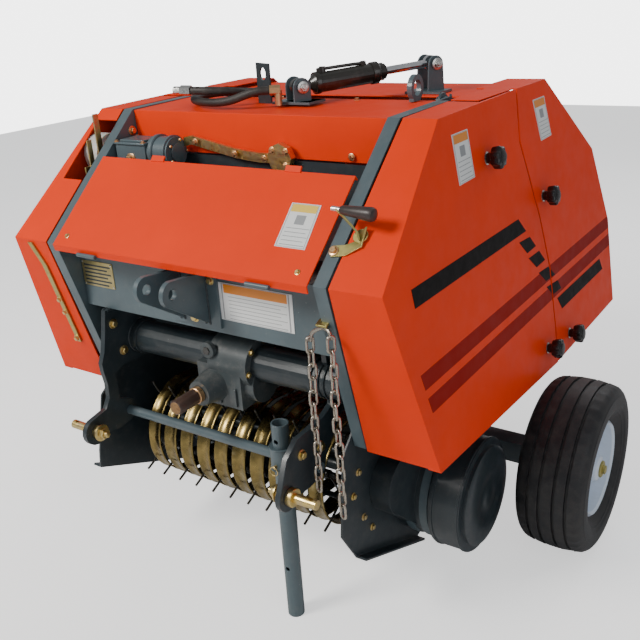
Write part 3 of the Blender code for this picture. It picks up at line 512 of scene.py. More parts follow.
def tyre(name, side):
    """Ribbed implement tyre with shoulder sipes and sidewall rings."""
    profile, steps = tread_profile(), 120
    rings = []
    for i in range(steps):
        a = 2 * math.pi * i / steps
        ring = []
        for x, r in profile:
            if 0.05 < abs(x) < 0.0755 and r > 0.215:
                r -= SIPE if (i + (x > 0)) % 3 == 0 else 0.0
            elif abs(x) < 0.0445 and r > 0.2225 and (i + int(x * 1000) // 15) % 4 == 0:
                r -= NICK
            ring.append((side * WHEEL.x + x, WHEEL.y + r * math.cos(a), WHEEL.z + r * math.sin(a)))
        rings.append(ring)
    return piece(name + "_ribbed", [skinned(rings, closed=True)], TYRE, name.replace("tyre", "wheel"),
                 angle=38, replaces=[name])


def on_wheel(side, x, around=(0.0, 0.0)):
    """A point on a wheel, x outwards from its middle."""
    return Vector((side * (WHEEL.x + x), WHEEL.y + around[0], WHEEL.z + around[1]))


for side, word in SIDES:
    tyre(word + "_tyre", side)
    out, body = LEFT * side, word + "_wheel"
    hub = on_wheel(side, 0.05)
    piece(word + "_hub_cap", [turned([(-0.002, 0.036), (0.01, 0.036), (0.016, 0.033), (0.02, 0.024),
                                      (0.0215, 0.006)], hub, out, 36)], RIM_WHITE, body)
    piece(word + "_hub_nut", [turned([(0, 0.02), (0.001, 0.0225), (0.008, 0.0225), (0.0095, 0.0205)],
                                     hub + out * 0.016, out, 32),
                              turned([(0, 0.012), (0.008, 0.012), (0.009, 0.011)],
                                     hub + out * 0.0245, out, 6)], OLIVE, body)
    bolts(word + "_wheel_nuts", [(on_wheel(side, 0.0001, p), out, 0.017, 0.006)
                                 for p in circle(5, 0.062, 0.3)], GOLD, body)
    # Dark discs at the rim's ten slots: painted shade standing in for the shadow inside the holes
    piece(word + "_rim_slot_shade", [turned([(0.0, 0.0085), (0.0016, 0.0085), (0.0022, 0.007)],
                                       on_wheel(side, -0.01, p), out, 16)
                                for p in circle(10, 0.098)], DARK, body)
    valve = on_wheel(side, 0.01, circle(1, 0.108, 2.2)[0])
    piece(word + "_valve", [rod(valve - out * 0.02, valve + out * 0.022, 0.0042, 12),
                            turned([(0, 0.0055), (0.008, 0.0055), (0.01, 0.004)],
                                   valve + out * 0.02, out, 12)], KNOB, body)


# ---- covers: films, plates, knobs
COVER_LEAN = 0.142
COVER_OUT = Vector((1, 0, COVER_LEAN)).normalized()
# (y, z) lines down a side: the seam between the covers, and their front and rear edges
SEAM = ((0.088, 1.197), (0.076, 1.075), (0.156, 0.872), (0.191, 0.729), (0.191, 0.525), (0.189, 0.457))
FRONT_EDGE = ((-0.65, 0.92), (-0.535, 0.5))
REAR_EDGE = ((0.624, 0.957), (0.727, 0.718), (0.716, 0.455))
FRONT_GAP, REAR_GAP = -0.0075, 0.0015
BAND_LIFT, FILM_LIFT, SQUARE_LIFT = 0.0004, 0.0006, 0.0009


def cover_out(side):
    return Vector((side * COVER_OUT.x, 0, COVER_OUT.z))


def on_cover(side, y, z):
    return Vector((side * (0.528 - COVER_LEAN * (z - 0.92)), y, z))


def cover_film(side, outline, lift):
    return film([(on_cover(side, y, z), cover_out(side)) for y, z in outline], lift)


def line_y(line, z):
    """y of a falling line at height z."""
    for (y0, z0), (y1, z1) in zip(line, line[1:]):
        if z1 <= z <= z0:
            return y0 + (y1 - y0) * (z0 - z) / (z0 - z1)
    return line[-1][0]


def clipped(outline, keep_front, gap):
    """The part of a small (y, z) outline on one side of the seam."""
    high, low = max(z for _, z in outline), min(z for _, z in outline)
    top, bottom = (line_y(SEAM, high) + gap, high), (line_y(SEAM, low) + gap, low)

    def side_of(p):
        d = (bottom[0] - top[0]) * (p[1] - top[1]) - (bottom[1] - top[1]) * (p[0] - top[0])
        return d if keep_front else -d

    kept = []
    for i, p in enumerate(outline):
        q = outline[(i + 1) % len(outline)]
        sp, sq = side_of(p), side_of(q)
        if sp <= 0:
            kept.append(p)
        if sp * sq < 0:
            t = sp / (sp - sq)
            kept.append((p[0] + (q[0] - p[0]) * t, p[1] + (q[1] - p[1]) * t))
    return kept if len(kept) > 2 else None


def level_band(side, start, start_gap, end, end_gap, high, low):
    """A level band from one line to another, with a gap from each."""
    return cover_film(side, [(line_y(start, high) + start_gap, high), (line_y(end, high) + end_gap, high),
                             (line_y(end, low) + end_gap, low), (line_y(start, low) + start_gap, low)],
                      BAND_LIFT)


SQUARES = [[(0.002, 0.842), (0.071, 0.838), (0.105, 0.805), (0.045, 0.803)],
           [(0.051, 0.788), (0.124, 0.787), (0.158, 0.753), (0.097, 0.751)],
           [(0.107, 0.733), (0.175, 0.729), (0.221, 0.694), (0.151, 0.697)],
           [(0.152, 0.68), (0.236, 0.673), (0.256, 0.644), (0.19, 0.647)]]
BAND_HEIGHTS = ((0.728, 0.692), (0.672, 0.636))
for side, word in SIDES:
    front = [cover_film(side, [(-0.544, 0.901), (0.011, 0.898), (0.052, 0.858), (-0.54, 0.861)], FILM_LIFT)]
    rear = [cover_film(side, [(0.222, 0.626), (0.607, 0.623), (0.628, 0.585), (0.25, 0.587)], SQUARE_LIFT)]
    for square in SQUARES:
        for films, outline in ((front, clipped(square, True, FRONT_GAP)),
                               (rear, clipped(square, False, REAR_GAP))):
            if outline:
                films.append(cover_film(side, outline, SQUARE_LIFT))
    piece(word + "_front_stripe", front, STRIPE)
    piece(word + "_rear_stripe", rear, STRIPE, "tailgate")
    piece(word + "_front_bands", [level_band(side, FRONT_EDGE, 0.04, SEAM, FRONT_GAP, high, low)
                                  for high, low in BAND_HEIGHTS], RED_BAND)
    piece(word + "_rear_bands", [level_band(side, SEAM, REAR_GAP, REAR_EDGE, -0.003, high, low)
                                 for high, low in BAND_HEIGHTS], RED_BAND, "tailgate")


def bilinear(corners, u, v):
    a, b, c, d = corners
    return (a * (1 - u) + b * u) * (1 - v) + (d * (1 - u) + c * u) * v


def plate(name, corners, normal, header, body, header_share=0.2, rows=5, picture=True):
    """A blank information plate: white sheet, coloured header bar, thin grey rules.

    The corners run from the top left."""
    corners = [Vector(c) for c in corners]

    def patch(u0, v0, u1, v1, lift):
        return film([(bilinear(corners, u, v), normal)
                     for u, v in ((u0, v0), (u1, v0), (u1, v1), (u0, v1))], lift)

    piece(name + "_sheet", [patch(0, 0, 1, 1, 0.0012)], WHITE, body)
    piece(name + "_header", [patch(0.07, 0.03, 0.93, header_share, 0.0017)], header, body)
    marks = [patch(*edges, 0.0015) for edges in (
        (0.04, 0.015, 0.96, 0.022), (0.04, 0.978, 0.96, 0.985),
        (0.04, 0.015, 0.055, 0.985), (0.945, 0.015, 0.96, 0.985))]
    start = header_share + (0.36 if picture else 0.08)
    for i in range(rows):
        v = start + (0.93 - start) * i / (rows - 1)
        marks.append(patch(0.13, v, 0.92 - 0.08 * (i % 2), v + 0.012, 0.0016))
    if picture:
        marks.append(patch(0.34, header_share + 0.07, 0.66, header_share + 0.28, 0.0015))
    piece(name + "_rules", marks, GREY_LINE, body)


PLATES = (("_front_plate", "baler", ((-0.291, 1.151), (-0.213, 1.151), (-0.203, 1.046), (-0.282, 1.044))),
          ("_rear_plate", "tailgate", ((0.181, 1.157), (0.262, 1.157), (0.29, 1.053), (0.213, 1.051))))
for side, word in SIDES:
    for name, body, outline in PLATES:
        a, b, c, d = (on_cover(side, y, z) for y, z in outline)
        plate(word + name, (a, b, c, d) if side > 0 else (b, a, d, c), cover_out(side), AMBER, body)


def knob(name, seat, out, body):
    """Star knob with seven lobes on a short neck, over a steel washer."""
    head = turned([(0.0, 0.0105), (0.004, 0.0125), (0.014, 0.0125), (0.016, 0.021), (0.019, 0.0235),
                   (0.034, 0.0245), (0.038, 0.0225), (0.04, 0.017)], seat, out, 56, 7, 0.085)
    cap = turned([(0.0385, 0.016), (0.041, 0.0155), (0.0425, 0.012), (0.043, 0.006)], seat, out, 32)
    piece(name, [head, cap], KNOB, body, angle=50)
    piece(name + "_washer", [turned([(-0.0005, 0.0145), (0.0012, 0.0145), (0.0016, 0.0138)], seat, out, 28)],
          STEEL, body)


KNOBS = {"front_knob": ("baler", -0.128, 1.072), "upper_rear_knob": ("tailgate", 0.192, 0.914),
         "lower_rear_knob": ("baler", 0.118, 0.522), "last_rear_knob": ("tailgate", 0.29, 0.5)}
for side, word in SIDES:
    for name, (body, y, z) in KNOBS.items():
        knob(word + "_" + name, on_cover(side, y, z), cover_out(side), body)


# ---- hood and beam
NOSE, BROW, CHIN = Vector((0, -0.65, 0.92)), Vector((0, -0.339, 1.191)), Vector((0, -0.535, 0.5))
SLOPE, FACE = (BROW - NOSE).normalized(), (CHIN - NOSE).normalized()
SLOPE_OUT, FACE_OUT = Vector((0, -SLOPE.z, SLOPE.y)), Vector((0, FACE.z, -FACE.y))
HOOD_TOP, BEAM_Y = 0.0101, -0.5853


def on_slope(x, along, lift, way=SLOPE, out=SLOPE_OUT):
    """A point on the upper front slope, so many metres up from the nose edge."""
    p = NOSE + way * along + out * lift
    return Vector((x, p.y, p.z))


def on_face(x, along, lift):
    """The same on the lower front slope, down from the nose edge."""
    return on_slope(x, along, lift, FACE, FACE_OUT)


def on_beam(x0, x1, top, bottom):
    """Corners of a rectangle on the front beam, from the top left."""
    return [Vector((x, BEAM_Y, z)) for x, z in ((x0, top), (x1, top), (x1, bottom), (x0, bottom))]


def beam_film(x0, x1, top, bottom, lift):
    return film([(p, FRONT) for p in on_beam(x0, x1, top, bottom)], lift)


plate("hood_plate", [on_slope(x, along, HOOD_TOP) for x, along in (
    (0.249, 0.176), (0.321, 0.176), (0.329, 0.07), (0.254, 0.07))], SLOPE_OUT, YELLOW, "hood")
plate("beam_plate", on_beam(0.075, 0.275, 0.866, 0.778), FRONT, AMBER, "baler", 0.26, 7, False)
piece("beam_brass_plate", [beam_film(-0.37, -0.262, 0.862, 0.797, 0.0014)], BRASS)
piece("beam_brass_rules", [beam_film(-0.362, -0.27 - 0.012 * (i % 2), 0.853 - 0.0095 * i,
                                     0.849 - 0.0095 * i, 0.0018) for i in range(6)], DARK)
piece("beam_plate_rivets", [turned([(0, 0.0026), (0.0012, 0.0024), (0.0018, 0.0012)],
                                   (x, BEAM_Y - 0.0013, z), FRONT, 10)
                            for x in (-0.366, -0.266) for z in (0.858, 0.801)], STEEL)
bolts("hood_screws", [(on_slope(x, 0.02, HOOD_TOP), SLOPE_OUT, 0.009) for x in (-0.335, 0.335)],
      GOLD, "hood")
piece("hood_hinge_knuckles", [turned([(0, 0.0048), (0.0005, 0.0052), (0.0595, 0.0052), (0.06, 0.0048)],
                                     (x - 0.03, -0.6655, 0.9085), LEFT, 14) for x in (-0.25, 0.25)], FRAME)


# ---- fasteners
ARM_X, ARM_HALF, SIDE_X = 0.3, 0.0071, 0.3801
ARM_BOLTS = {1: ((-0.64, 0.522), (-0.568, 0.505)), -1: ((-0.586, 0.702), (-0.566, 0.622))}
frame_rows = []
for side, _ in SIDES:
    out = LEFT * side
    for y, z in ARM_BOLTS[side]:
        frame_rows += [((side * (ARM_X + way * ARM_HALF), y, z), out * way, 0.018) for way in (-1, 1)]
    frame_rows += [((side * SIDE_X, y, z), out, 0.016) for y, z in (
        (-0.555, 0.88), (-0.555, 0.765), (-0.33, 0.52), (-0.18, 0.525), (-0.43, 0.505))]
frame_rows += [((x, -0.5921, z), FRONT, size) for x, z, size in (
    (0, 0.772, 0.016), (0.058, 0.868, 0.014), (-0.058, 0.868, 0.014))]
bolts("inner_plate_bolts", [((x, y, z), inwards, 0.017) for x, inwards in ((-0.374, LEFT), (0.374, RIGHT))
                            for y, z in ((-0.352, 1.139), (-0.29, 1.16))], COPPER)
bolts("frame_bolts", frame_rows, GOLD)
bolts("deck_bolts", [((x, -0.118, 1.1925), UP, 0.011) for x in (-0.3, -0.06, 0.165)]
      + [((0.28, -0.3372, 1.103), FRONT, 0.012)], COPPER)
bolts("latch_bar_bolts", [(on_face(x, along, 0.0056), FACE_OUT, size) for x, along, size in (
    (-0.4535, 0.175, 0.012), (-0.4545, 0.215, 0.012), (-0.455, 0.3, 0.014))], GOLD)


# ---- trip lever
# Bent plate on the left flange, a strap up to a short rod and its tapered grip
bent = [on_slope(0.384, 0.08, 0.0018), on_slope(0.412, 0.086, 0.0018), on_slope(0.434, 0.102, 0.0025),
        on_slope(0.437, 0.138, 0.006)]
raised = [on_slope(0.436, 0.112, 0.006), on_slope(0.43, 0.122, 0.016), on_slope(0.4, 0.14, 0.038),
          on_slope(0.384, 0.148, 0.046)]
boss = turned([(-0.004, 0.016), (0.0002, 0.016), (0.0008, 0.0152)],
              on_slope(0.434, 0.12, 0.0062), SLOPE_OUT, 24)
piece("trip_lever_plate", [strap(bent, SLOPE, 0.026, 0.0034), strap(raised, SLOPE_OUT, 0.013, 0.004), boss],
      OLIVE, bevel=0.0006, replaces=["trip_lever"])
start, end = on_slope(0.374, 0.15, 0.046), on_slope(0.47, 0.145, 0.046)
way = (end - start).normalized()
piece("trip_lever_rod", [rod(start, start + way * 0.04, 0.0055, 16)], STEEL)
piece("trip_lever_grip", [turned([(0.0, 0.008), (0.003, 0.0092), (0.06, 0.0138), (0.07, 0.0142),
                                  (0.0745, 0.0125), (0.0765, 0.007)], start + way * 0.022, way, 28)], GRIP)
bolts("trip_lever_bolt", [(on_slope(0.389, 0.081, 0.0036), SLOPE_OUT, 0.015)], COPPER)


# ---- safety chains
LINK_PITCH, LINK_WIDTH, WIRE = 0.03, 0.0215, 0.0058


def link(centre, axis, across):
    """One oval chain link in the plane of axis and across."""
    r = (LINK_WIDTH - WIRE) / 2
    half = (LINK_PITCH + WIRE) / 2 - r
    points = []
    for end in (1, -1):
        for i in range(9):
            a = math.pi * i / 8
            points.append(centre + axis * (end * (half + r * math.sin(a)))
                          + across * (end * (r * math.cos(a))))
    return sweep(points, WIRE / 2, 8, closed=True)


def chain(name, top, bottom, replaces=()):
    """A hanging chain, each link turned from the last by about a quarter."""
    top, bottom = Vector(top), Vector(bottom)
    axis = (bottom - top).normalized()
    a = (LEFT - axis * LEFT.dot(axis)).normalized()
    b = axis.cross(a)
    links = []
    for i in range(int((bottom - top).length / LINK_PITCH) + 1):
        turn = math.radians(28 if i % 2 else 118) + random.uniform(-0.22, 0.22)
        across = a * math.cos(turn) + b * math.sin(turn)
        sway = a * (0.0012 * math.sin(i * 0.9)) + b * (0.001 * math.cos(i * 1.3))
        links.append(link(top + axis * (LINK_PITCH * i) + sway, axis, across))
    piece(name, links, CHAIN, angle=60, replaces=replaces)


chain("safety_chain_inner", (0.352, -0.64, 0.79), (0.349, -0.64, 0.438), ["safety_chains"])
chain("safety_chain_outer", (0.403, -0.64, 0.8), (0.408, -0.64, 0.396))
piece("chain_shackle", [sweep(smooth_route([
    (0.352, -0.64, 0.797), (0.354, -0.636, 0.812), (0.362, -0.63, 0.82),
    (0.378, -0.628, 0.826), (0.394, -0.632, 0.822), (0.402, -0.638, 0.808)], 4), 0.0042, 10)], CHAIN)
piece("chain_hook_plate", [strap([(0.378, -0.596, 0.838), (0.378, -0.622, 0.838), (0.378, -0.636, 0.832)],
                                 LEFT, 0.026, 0.005)], OLIVE, bevel=0.0006)
bolts("chain_hook_bolt", [((0.386, -0.612, 0.8405), UP, 0.015)], STEEL)


# ---- pickup
REEL = Vector((0, -0.4, 0.345))
BAND_R, BAND_W, BAND_PITCH, BAND_COUNT = 0.135, 0.0425, 0.058, 10
BAND_X = [(i - (BAND_COUNT - 1) / 2) * BAND_PITCH for i in range(BAND_COUNT)]
RAIL_X, TINE_BAR_R, TINE_ROWS, TINES = 0.3655, 0.08, 4, 11


def band_path():
    """(y, z) points and outward directions along a stripper band."""
    points = [(-0.205, 0.455)]
    for i in range(41):
        a = math.radians(75 + (285 - 75) * i / 40)
        points.append((REEL.y + BAND_R * math.cos(a), REEL.z + BAND_R * math.sin(a)))
    points.append((-0.262, 0.206))
    rows = []
    for i, p in enumerate(points):
        a, b = points[max(i - 1, 0)], points[min(i + 1, len(points) - 1)]
        t = Vector((b[0] - a[0], b[1] - a[1])).normalized()
        rows.append((Vector(p), Vector((t.y, -t.x))))
    return rows


# Pressed stripper bands with rolled edges and a hollow middle
half = BAND_W / 2
edge = [(half, 0.0036), (half - 0.0022, 0.005), (half - 0.0055, 0.0046), (half - 0.01, 0.0022)]
section = [(-half, 0.0004)] + [(-w, h) for w, h in edge] + [(0.0, 0.0012)] + edge[::-1]
section += [(half, 0.0004), (half - 0.012, 0.0), (-half + 0.012, 0.0)]
piece("stripper_bands", [skinned([[(middle + w, p.x + n.x * h, p.y + n.y * h) for w, h in section]
                                  for p, n in band_path()]) for middle in BAND_X],
      BAND, angle=50, replaces=["pickup_bands"])
piece("band_rails", [box(-RAIL_X, RAIL_X, -0.235, -0.205, 0.446, 0.4545),
                     box(-RAIL_X, RAIL_X, -0.285, -0.255, 0.196, 0.2055)], FRAME, bevel=0.001)
bolts("band_bolts", [row for middle in BAND_X for row in (
    ((middle, -0.22, 0.459), UP, 0.011), ((middle, -0.27, 0.196), DOWN, 0.011))], GOLD)

piece("reel_apron", [strap([(0, -0.2125, 0.444), (0, -0.2125, 0.3), (0, -0.25, 0.218)],
                           LEFT, 0.712, 0.003)], DARK, bevel=0.0006)

# Spring tines on four bars, each with a coil at its foot
bars, wires = [], []
for row in range(TINE_ROWS):
    a = math.radians(210 + 90 * row)
    d = Vector((0, math.cos(a), math.sin(a)))
    bend = Vector((0, -math.sin(a), math.cos(a))) * 0.003
    seat = REEL + d * TINE_BAR_R
    bars.append(rod(seat + RIGHT * 0.325, seat + LEFT * 0.325, 0.0072, 12))
    for i in range(TINES):
        x = LEFT * ((i - TINES // 2) * BAND_PITCH)
        points = [seat + x, seat + x + d * 0.02 + bend * 0.6, seat + x + d * 0.055 + bend,
                  REEL + x + d * 0.168, REEL + x + d * 0.1735 - bend * 0.4]
        wires.append(sweep(smooth_route(points, 3), 0.0031, 8))
        wires.append(turned([(0, 0.01), (0.001, 0.0115), (0.019, 0.0115), (0.02, 0.01)],
                            seat + x + RIGHT * 0.01, LEFT, 16))
bars.append(rod(REEL + RIGHT * 0.352, REEL + LEFT * 0.352, 0.016, 24))
bars += [turned([(0, 0.09), (0.0006, 0.092), (0.0054, 0.092), (0.006, 0.09)],
                REEL + LEFT * (x - 0.003), LEFT, 40) for x in (-0.318, 0.0, 0.318)]
piece("reel_bars", bars, DARK, "pickup_reel", replaces=["pickup_reel"])
piece("reel_tines", wires, BLACK, "pickup_reel", angle=60)


# ---- gearbox and input shaft
SHAFT_Z = 0.585
TUBE_Y, TUBE_Z = -0.5, 0.64

piece("shaft_sleeve", [turned([(0.0, 0.017), (0.002, 0.018), (0.062, 0.018), (0.0655, 0.0165)],
                              (0, -0.628, SHAFT_Z), FRONT, 48, 8, 0.045)],
      BROWN, "input_shaft", replaces=["input_shaft"])
piece("shaft_end", [turned([(0, 0.015), (0.003, 0.015), (0.0038, 0.014)],
                           (0, -0.6902, SHAFT_Z), FRONT, 32)], RUST, "input_shaft")
piece("shaft_collar", [turned([(0, 0.019), (0.001, 0.0205), (0.013, 0.0205), (0.0145, 0.019)],
                              (0, -0.6136, SHAFT_Z), FRONT, 36)], COPPER, "input_shaft")
bolts("gearbox_bolts", [((0.105, TUBE_Y + u, TUBE_Z + v), LEFT, 0.012)
                        for u, v in circle(6, 0.053, 0.2)], GOLD)
piece("gearbox_ear", [turned([(0, 0.0185), (0.001, 0.02), (0.013, 0.02), (0.014, 0.0185)],
                             (-0.004, -0.552, 0.676), FRONT, 28)], CAST)
piece("gearbox_plug", [turned([(0, 0.01), (0.002, 0.0105), (0.0035, 0.01)],
                              (-0.004, -0.5655, 0.676), FRONT, 6),
                       turned([(0, 0.006), (0.006, 0.006), (0.007, 0.005)],
                              (0.02, -0.482, 0.701), UP, 12)], BLACK)
rib = [(-0.56, 0.59), (-0.566, 0.588), (-0.566, 0.545), (-0.56, 0.54)]
piece("gearbox_ribs", [prism(rib, x - 0.003, x + 0.003) for x in (-0.03, 0.02, 0.068)],
      CAST, bevel=0.0015)
piece("cross_tube_welds", [turned([(-0.004, 0.044), (-0.003, 0.047), (0.003, 0.047), (0.004, 0.044)],
                                  (x, TUBE_Y, TUBE_Z), LEFT, 40) for x in (-0.345, -0.27, 0.27, 0.345)],
      DARK, angle=50)


# ---- hitch
HITCH_Y, HITCH_Z = -0.692, 0.447
STAND_X, STAND_Y = 0.203, -0.575


def weld(points, radius=0.0032):
    """A rippled weld bead along a line of points."""
    dense = []
    for a, b in zip(points, points[1:]):
        a, b = Vector(a), Vector(b)
        steps = max(2, int((b - a).length / 0.0035))
        dense += [a + (b - a) * (i / steps) for i in range(steps)]
    dense.append(Vector(points[-1]))
    return sweep(dense, lambda i: radius * (1.0 + 0.2 * math.sin(i * 1.7)), 7)


def loop(count, radius):
    """Points round a circle, the first again at the end."""
    points = circle(count, radius)
    return points + points[:1]


beads, nuts = [], []
for side, _ in SIDES:
    for face in (-0.0075, 0.0075):
        x = side * ARM_X + face
        beads.append(weld([(x, -0.598 if side < 0 else -0.523, 0.7405), (x, -0.503, 0.7405)]))
        beads.append(weld([(x, TUBE_Y + u, TUBE_Z + v) for u, v in loop(24, 0.0435)], 0.0028))
    nuts += hex_bolt((side * 0.278, HITCH_Y, HITCH_Z), (-side, 0, 0), 0.03, 0.008)
    nuts.append(turned([(0, 0.02), (0.001, 0.0212), (0.013, 0.0212), (0.0145, 0.0195)],
                       (side * 0.3076, HITCH_Y, HITCH_Z), (side, 0, 0), 32))
piece("hitch_welds", beads, DARK, angle=80)
piece("hitch_pin_nuts", nuts, GOLD)
piece("stand_sleeve_rims", [weld([(STAND_X + u, STAND_Y + v, z) for u, v in loop(20, 0.0285)], 0.0016)
                            for z in (0.4265, 0.4815)], FRAME, angle=80)
piece("stand_pin", [rod((STAND_X, -0.61, 0.44), (STAND_X, -0.592, 0.44), 0.0045, 14),
                    sweep([(STAND_X + u, -0.6115, 0.432 + v) for u, v in circle(20, 0.011)],
                          0.0013, 8, closed=True)], GOLD, angle=60)
piece("top_link_welds", [weld([(x + face, -0.5925, 0.762), (x + face, -0.5925, 0.882)], 0.0026)
                         for x in (-0.038, 0.038) for face in (-0.0065, 0.0065)], DARK, angle=80)


# ---- hydraulic cylinder
CYL_BASE, CYL_EYE = Vector((0.051, -0.2, 1.234)), Vector((0.253, 0.1, 1.256))
ALONG = (CYL_EYE - CYL_BASE).normalized()
ACROSS = ALONG.cross(UP).normalized()
ABOVE = ACROSS.cross(ALONG).normalized()

# Glands, the oil pipe with its unions, and the bolts at both eyes
glands = (([(0, 0.0262), (0.001, 0.0268), (0.017, 0.0268), (0.019, 0.025)], 0.194, 40),
          ([(0, 0.019), (0.006, 0.0186), (0.008, 0.016)], 0.226, 28),
          ([(0, 0.0255), (0.001, 0.0262), (0.012, 0.0262), (0.013, 0.025)], 0.0425, 40),
          ([(0.0, 0.011), (0.002, 0.013), (0.009, 0.0195), (0.013, 0.0235)], 0.031, 40))
piece("cylinder_glands", [turned(profile, CYL_BASE + ALONG * at, ALONG, steps)
                          for profile, at, steps in glands], BLACK, "cylinder_barrel")
middle = CYL_BASE + ALONG * 0.11 + ABOVE * 0.024
run = [middle + ALONG * at + ABOVE * rise for at, rise in (
    (-0.052, 0.004), (-0.045, 0.006), (0.06, 0.004), (0.072, 0.0))]
unions = [turned([(0, 0.008), (0.01, 0.008), (0.012, 0.006)], middle + ALONG * at - ABOVE * drop, ABOVE, 6)
          for at, drop in ((0.066, 0.003), (-0.05, 0.002))]
piece("cylinder_pipe", [sweep(smooth_route(run, 5), 0.0042, 10)] + unions, BLACK, "cylinder_barrel")
for name, centre, near, body in (("cylinder_base_bolts", CYL_BASE, 0.031, "baler"),
                                 ("cylinder_eye_bolts", CYL_EYE, 0.033, "tailgate")):
    bolts(name, [(centre + ACROSS * 0.036, ACROSS, 0.02, 0.004),
                 (centre - ACROSS * near, -ACROSS, 0.018)], STEEL, body)
piece("barrel_eye_bush", [turned([(0, 0.01), (0.001, 0.0113), (0.017, 0.0113), (0.018, 0.01)],
                                 CYL_BASE - ACROSS * 0.009, ACROSS, 28)], STEEL, "cylinder_barrel")

# Upright plate with an oval hole, by the cylinder's base
base = Vector((-0.05, -0.2, 1.1928))
outline = [(-0.02, 0.0), (0.02, 0.0), (0.02, 0.094), (-0.02, 0.097)]
hole = [(0.0085 * u, 0.07 + 0.015 * v) for u, v in circle(16, 1.0)]
bm = bmesh.new()
faces = [[[bm.verts.new(base + Vector((u, y, v))) for u, v in ring] for ring in (outline, hole)]
         for y in (-0.003, 0.003)]
for rings in faces:
    edges = [bm.edges.new((a, b)) for ring in rings for a, b in zip(ring, ring[1:] + ring[:1])]
    bmesh.ops.triangle_fill(bm, edges=edges, use_beauty=True)
for near, far in zip(*faces):
    for i in range(len(near)):
        j = (i + 1) % len(near)
        bm.faces.new((near[i], near[j], far[j], far[i]))
bmesh.ops.recalc_face_normals(bm, faces=bm.faces[:])
piece("hose_post", [bm], DARK, bevel=0.0008)


# ---- twine unit
DRUM_Y, DRUM_Z = -0.384, 1.098

# Lid, drum rims and bolts of the twine case, and the bolts of the rail beside it
piece("twine_case_lid", [box(-0.365, -0.259, -0.43, -0.345, 1.1185, 1.124),
                         box(-0.352, -0.272, -0.418, -0.357, 1.1235, 1.129)], FRAME, bevel=0.0016)
rims = ((-0.254, 44, [(0, 0.04), (0.001, 0.0425), (0.01, 0.0425), (0.012, 0.04)]),
        (-0.208, 44, [(0, 0.04), (0.001, 0.0418), (0.007, 0.0418), (0.008, 0.04)]),
        (-0.195, 28, [(0, 0.02), (0.001, 0.022), (0.006, 0.022), (0.007, 0.018)]))
piece("twine_case_rim", [turned(profile, (x, DRUM_Y, DRUM_Z), LEFT, steps) for x, steps, profile in rims],
      FRAME)
rows = [((x, y, 1.124), UP, 0.009) for y in (-0.424, -0.351) for x in (-0.358, -0.266)]
rows.append(((-0.312, -0.4255, 1.082), FRONT, 0.022))
rows += [((-0.1885, DRUM_Y + u, DRUM_Z + v), LEFT, 0.008, 0.0, False) for u, v in circle(5, 0.031)]
rows += [((x, -0.3625, z), FRONT, 0.012) for x, z in (
    (-0.15, 1.121), (-0.03, 1.098), (0.082, 1.112), (0.118, 1.078), (0.12, 1.11), (0.058, 1.092))]
bolts("twine_unit_bolts", rows, COPPER)


# ---- pickup drive guard
GUARD_Y, GUARD_Z = -0.223, 0.25

# Rims and pressed face of the drive guard, and what is bolted to the pickup's sides
rim = [(0.0, 0.144), (0.0015, 0.1475), (0.0065, 0.1475), (0.008, 0.144)]
face = [(0.0, 0.1285), (0.0035, 0.124), (0.007, 0.112), (0.0085, 0.09), (0.009, 0.062),
        (0.0072, 0.059), (0.0072, 0.03), (0.0095, 0.027), (0.0095, 0.006)]
band = [(0.0, 0.1318), (0.001, 0.1345), (0.022, 0.1345), (0.023, 0.1318)]
for name, material, parts in (
        ("drive_guard_drum", DARK, ((0.472, rim), (0.538, rim), (0.5582, face))),
        ("drive_guard_straps", FRAME, ((0.396, band), (0.438, band)))):
    piece(name, [turned(profile, (x, GUARD_Y, GUARD_Z), LEFT, 64) for x, profile in parts],
          material, angle=40)
bolts("pickup_side_bolts", [((side * 0.3727, y, z), (side, 0, 0), 0.013) for y, z in (
    (-0.52, 0.43), (-0.505, 0.3), (-0.545, 0.38), (-0.47, 0.25)) for side, _ in SIDES], GOLD)
piece("reel_bearings", [turned([(0, 0.04), (0.002, 0.042), (0.008, 0.04), (0.012, 0.028),
                                (0.016, 0.027), (0.017, 0.02)], (-0.3726, REEL.y, REEL.z), RIGHT, 36)],
      CAST)


# ---- rear and underside
# Ribs and bolts on the rear sheet, and the axle's U bolts
piece("rear_ribs", [strap([(x, 0.6952, 0.768), (x, 0.7163, 0.715), (x, 0.7058, 0.478)], LEFT, 0.036, 0.003)
                    for x in (-0.23, 0.0, 0.23)], ORANGE, "tailgate", bevel=0.0008)
bolts("rear_bolts", [((x, y, z), BACK, 0.012) for x in (-0.33, -0.115, 0.115, 0.33)
                     for y, z in ((0.7135, 0.66), (0.7068, 0.5))], GOLD, "tailgate")
clamps = []
for x in (-0.405, 0.405):
    for y in (0.012, 0.108):
        clamps.append(sweep(smooth_route([(x, y, 0.192), (x, y, 0.27)], 4), 0.005, 10))
    for y in (0.012, 0.108):
        clamps += hex_bolt((x, y, 0.1925), DOWN, 0.013)
piece("axle_clamps", clamps, GOLD, angle=50)


# ---- stage
FLOOR_Z, FLOOR_HALF = -0.0006, 8
FLOOR_GLOW, WORLD_SEEN, WORLD_LIT = 0.9, 4.5, 0.34
AIM = (0, 0, 0.7)

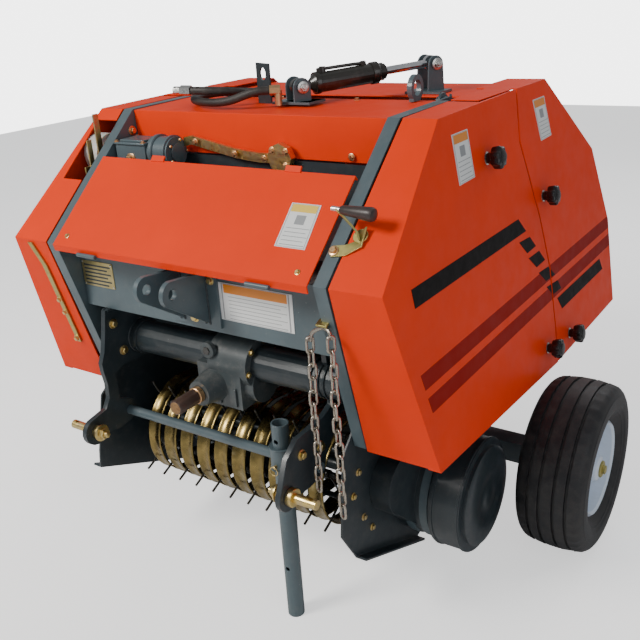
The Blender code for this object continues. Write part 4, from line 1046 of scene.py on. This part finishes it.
# A pale floor and world, both brighter to the camera than in the light they give
mesh = bpy.data.meshes.new("floor")
mesh.from_pydata([(FLOOR_HALF * u, FLOOR_HALF * v, FLOOR_Z) for u, v in CORNERS], [], [(0, 1, 2, 3)])
floor = bpy.data.objects.new("floor", mesh)
bpy.context.scene.collection.objects.link(floor)
made, tree, shader = node_tree("floor_paint")
tree.links.new(ramp(tree, noise(tree, 1.5), [(0.3, (0.8, 0.8, 0.8)), (0.7, (0.84, 0.84, 0.84))]),
               shader.inputs["Base Color"])
shader.inputs["Roughness"].default_value = 0.85
shader.inputs["Emission Color"].default_value = (1.0, 1.0, 1.0, 1.0)
path = add(tree, "ShaderNodeLightPath")
glow = add(tree, "ShaderNodeMath", operation="MULTIPLY")
glow.inputs[1].default_value = FLOOR_GLOW
tree.links.new(path.outputs["Is Camera Ray"], glow.inputs[0])
tree.links.new(glow.outputs[0], shader.inputs["Emission Strength"])
mesh.materials.append(made)
world = bpy.data.worlds.new("studio")
world.use_nodes = True
tree = world.node_tree
seen = tree.nodes["Background"]
seen.inputs["Color"].default_value = (1.0, 1.0, 1.0, 1.0)
seen.inputs["Strength"].default_value = WORLD_SEEN
lit = add(tree, "ShaderNodeBackground", Color=(0.93, 0.96, 1.0, 1.0), Strength=WORLD_LIT)
path = add(tree, "ShaderNodeLightPath")
mix = add(tree, "ShaderNodeMixShader")
tree.links.new(path.outputs["Is Camera Ray"], mix.inputs[0])
tree.links.new(lit.outputs[0], mix.inputs[1])
tree.links.new(seen.outputs[0], mix.inputs[2])
tree.links.new(mix.outputs[0], tree.nodes["World Output"].inputs["Surface"])
bpy.context.scene.world = world


def area_light(name, place, size, power, colour):
    data = bpy.data.lights.new(name, "AREA")
    data.size = size
    data.energy = power
    data.color = colour
    light = bpy.data.objects.new(name, data)
    light.location = place
    light.rotation_euler = (Vector(AIM) - Vector(place)).to_track_quat("-Z", "Y").to_euler()
    bpy.context.scene.collection.objects.link(light)


area_light("key", (-1.6, -3.2, 3.4), 1.2, 150, (1.0, 0.97, 0.92))
area_light("fill", (3.6, -2.2, 2.2), 2.6, 30, (0.94, 0.97, 1.0))
area_light("back", (0.6, 3.4, 3.2), 2.4, 45, (1, 1, 1))
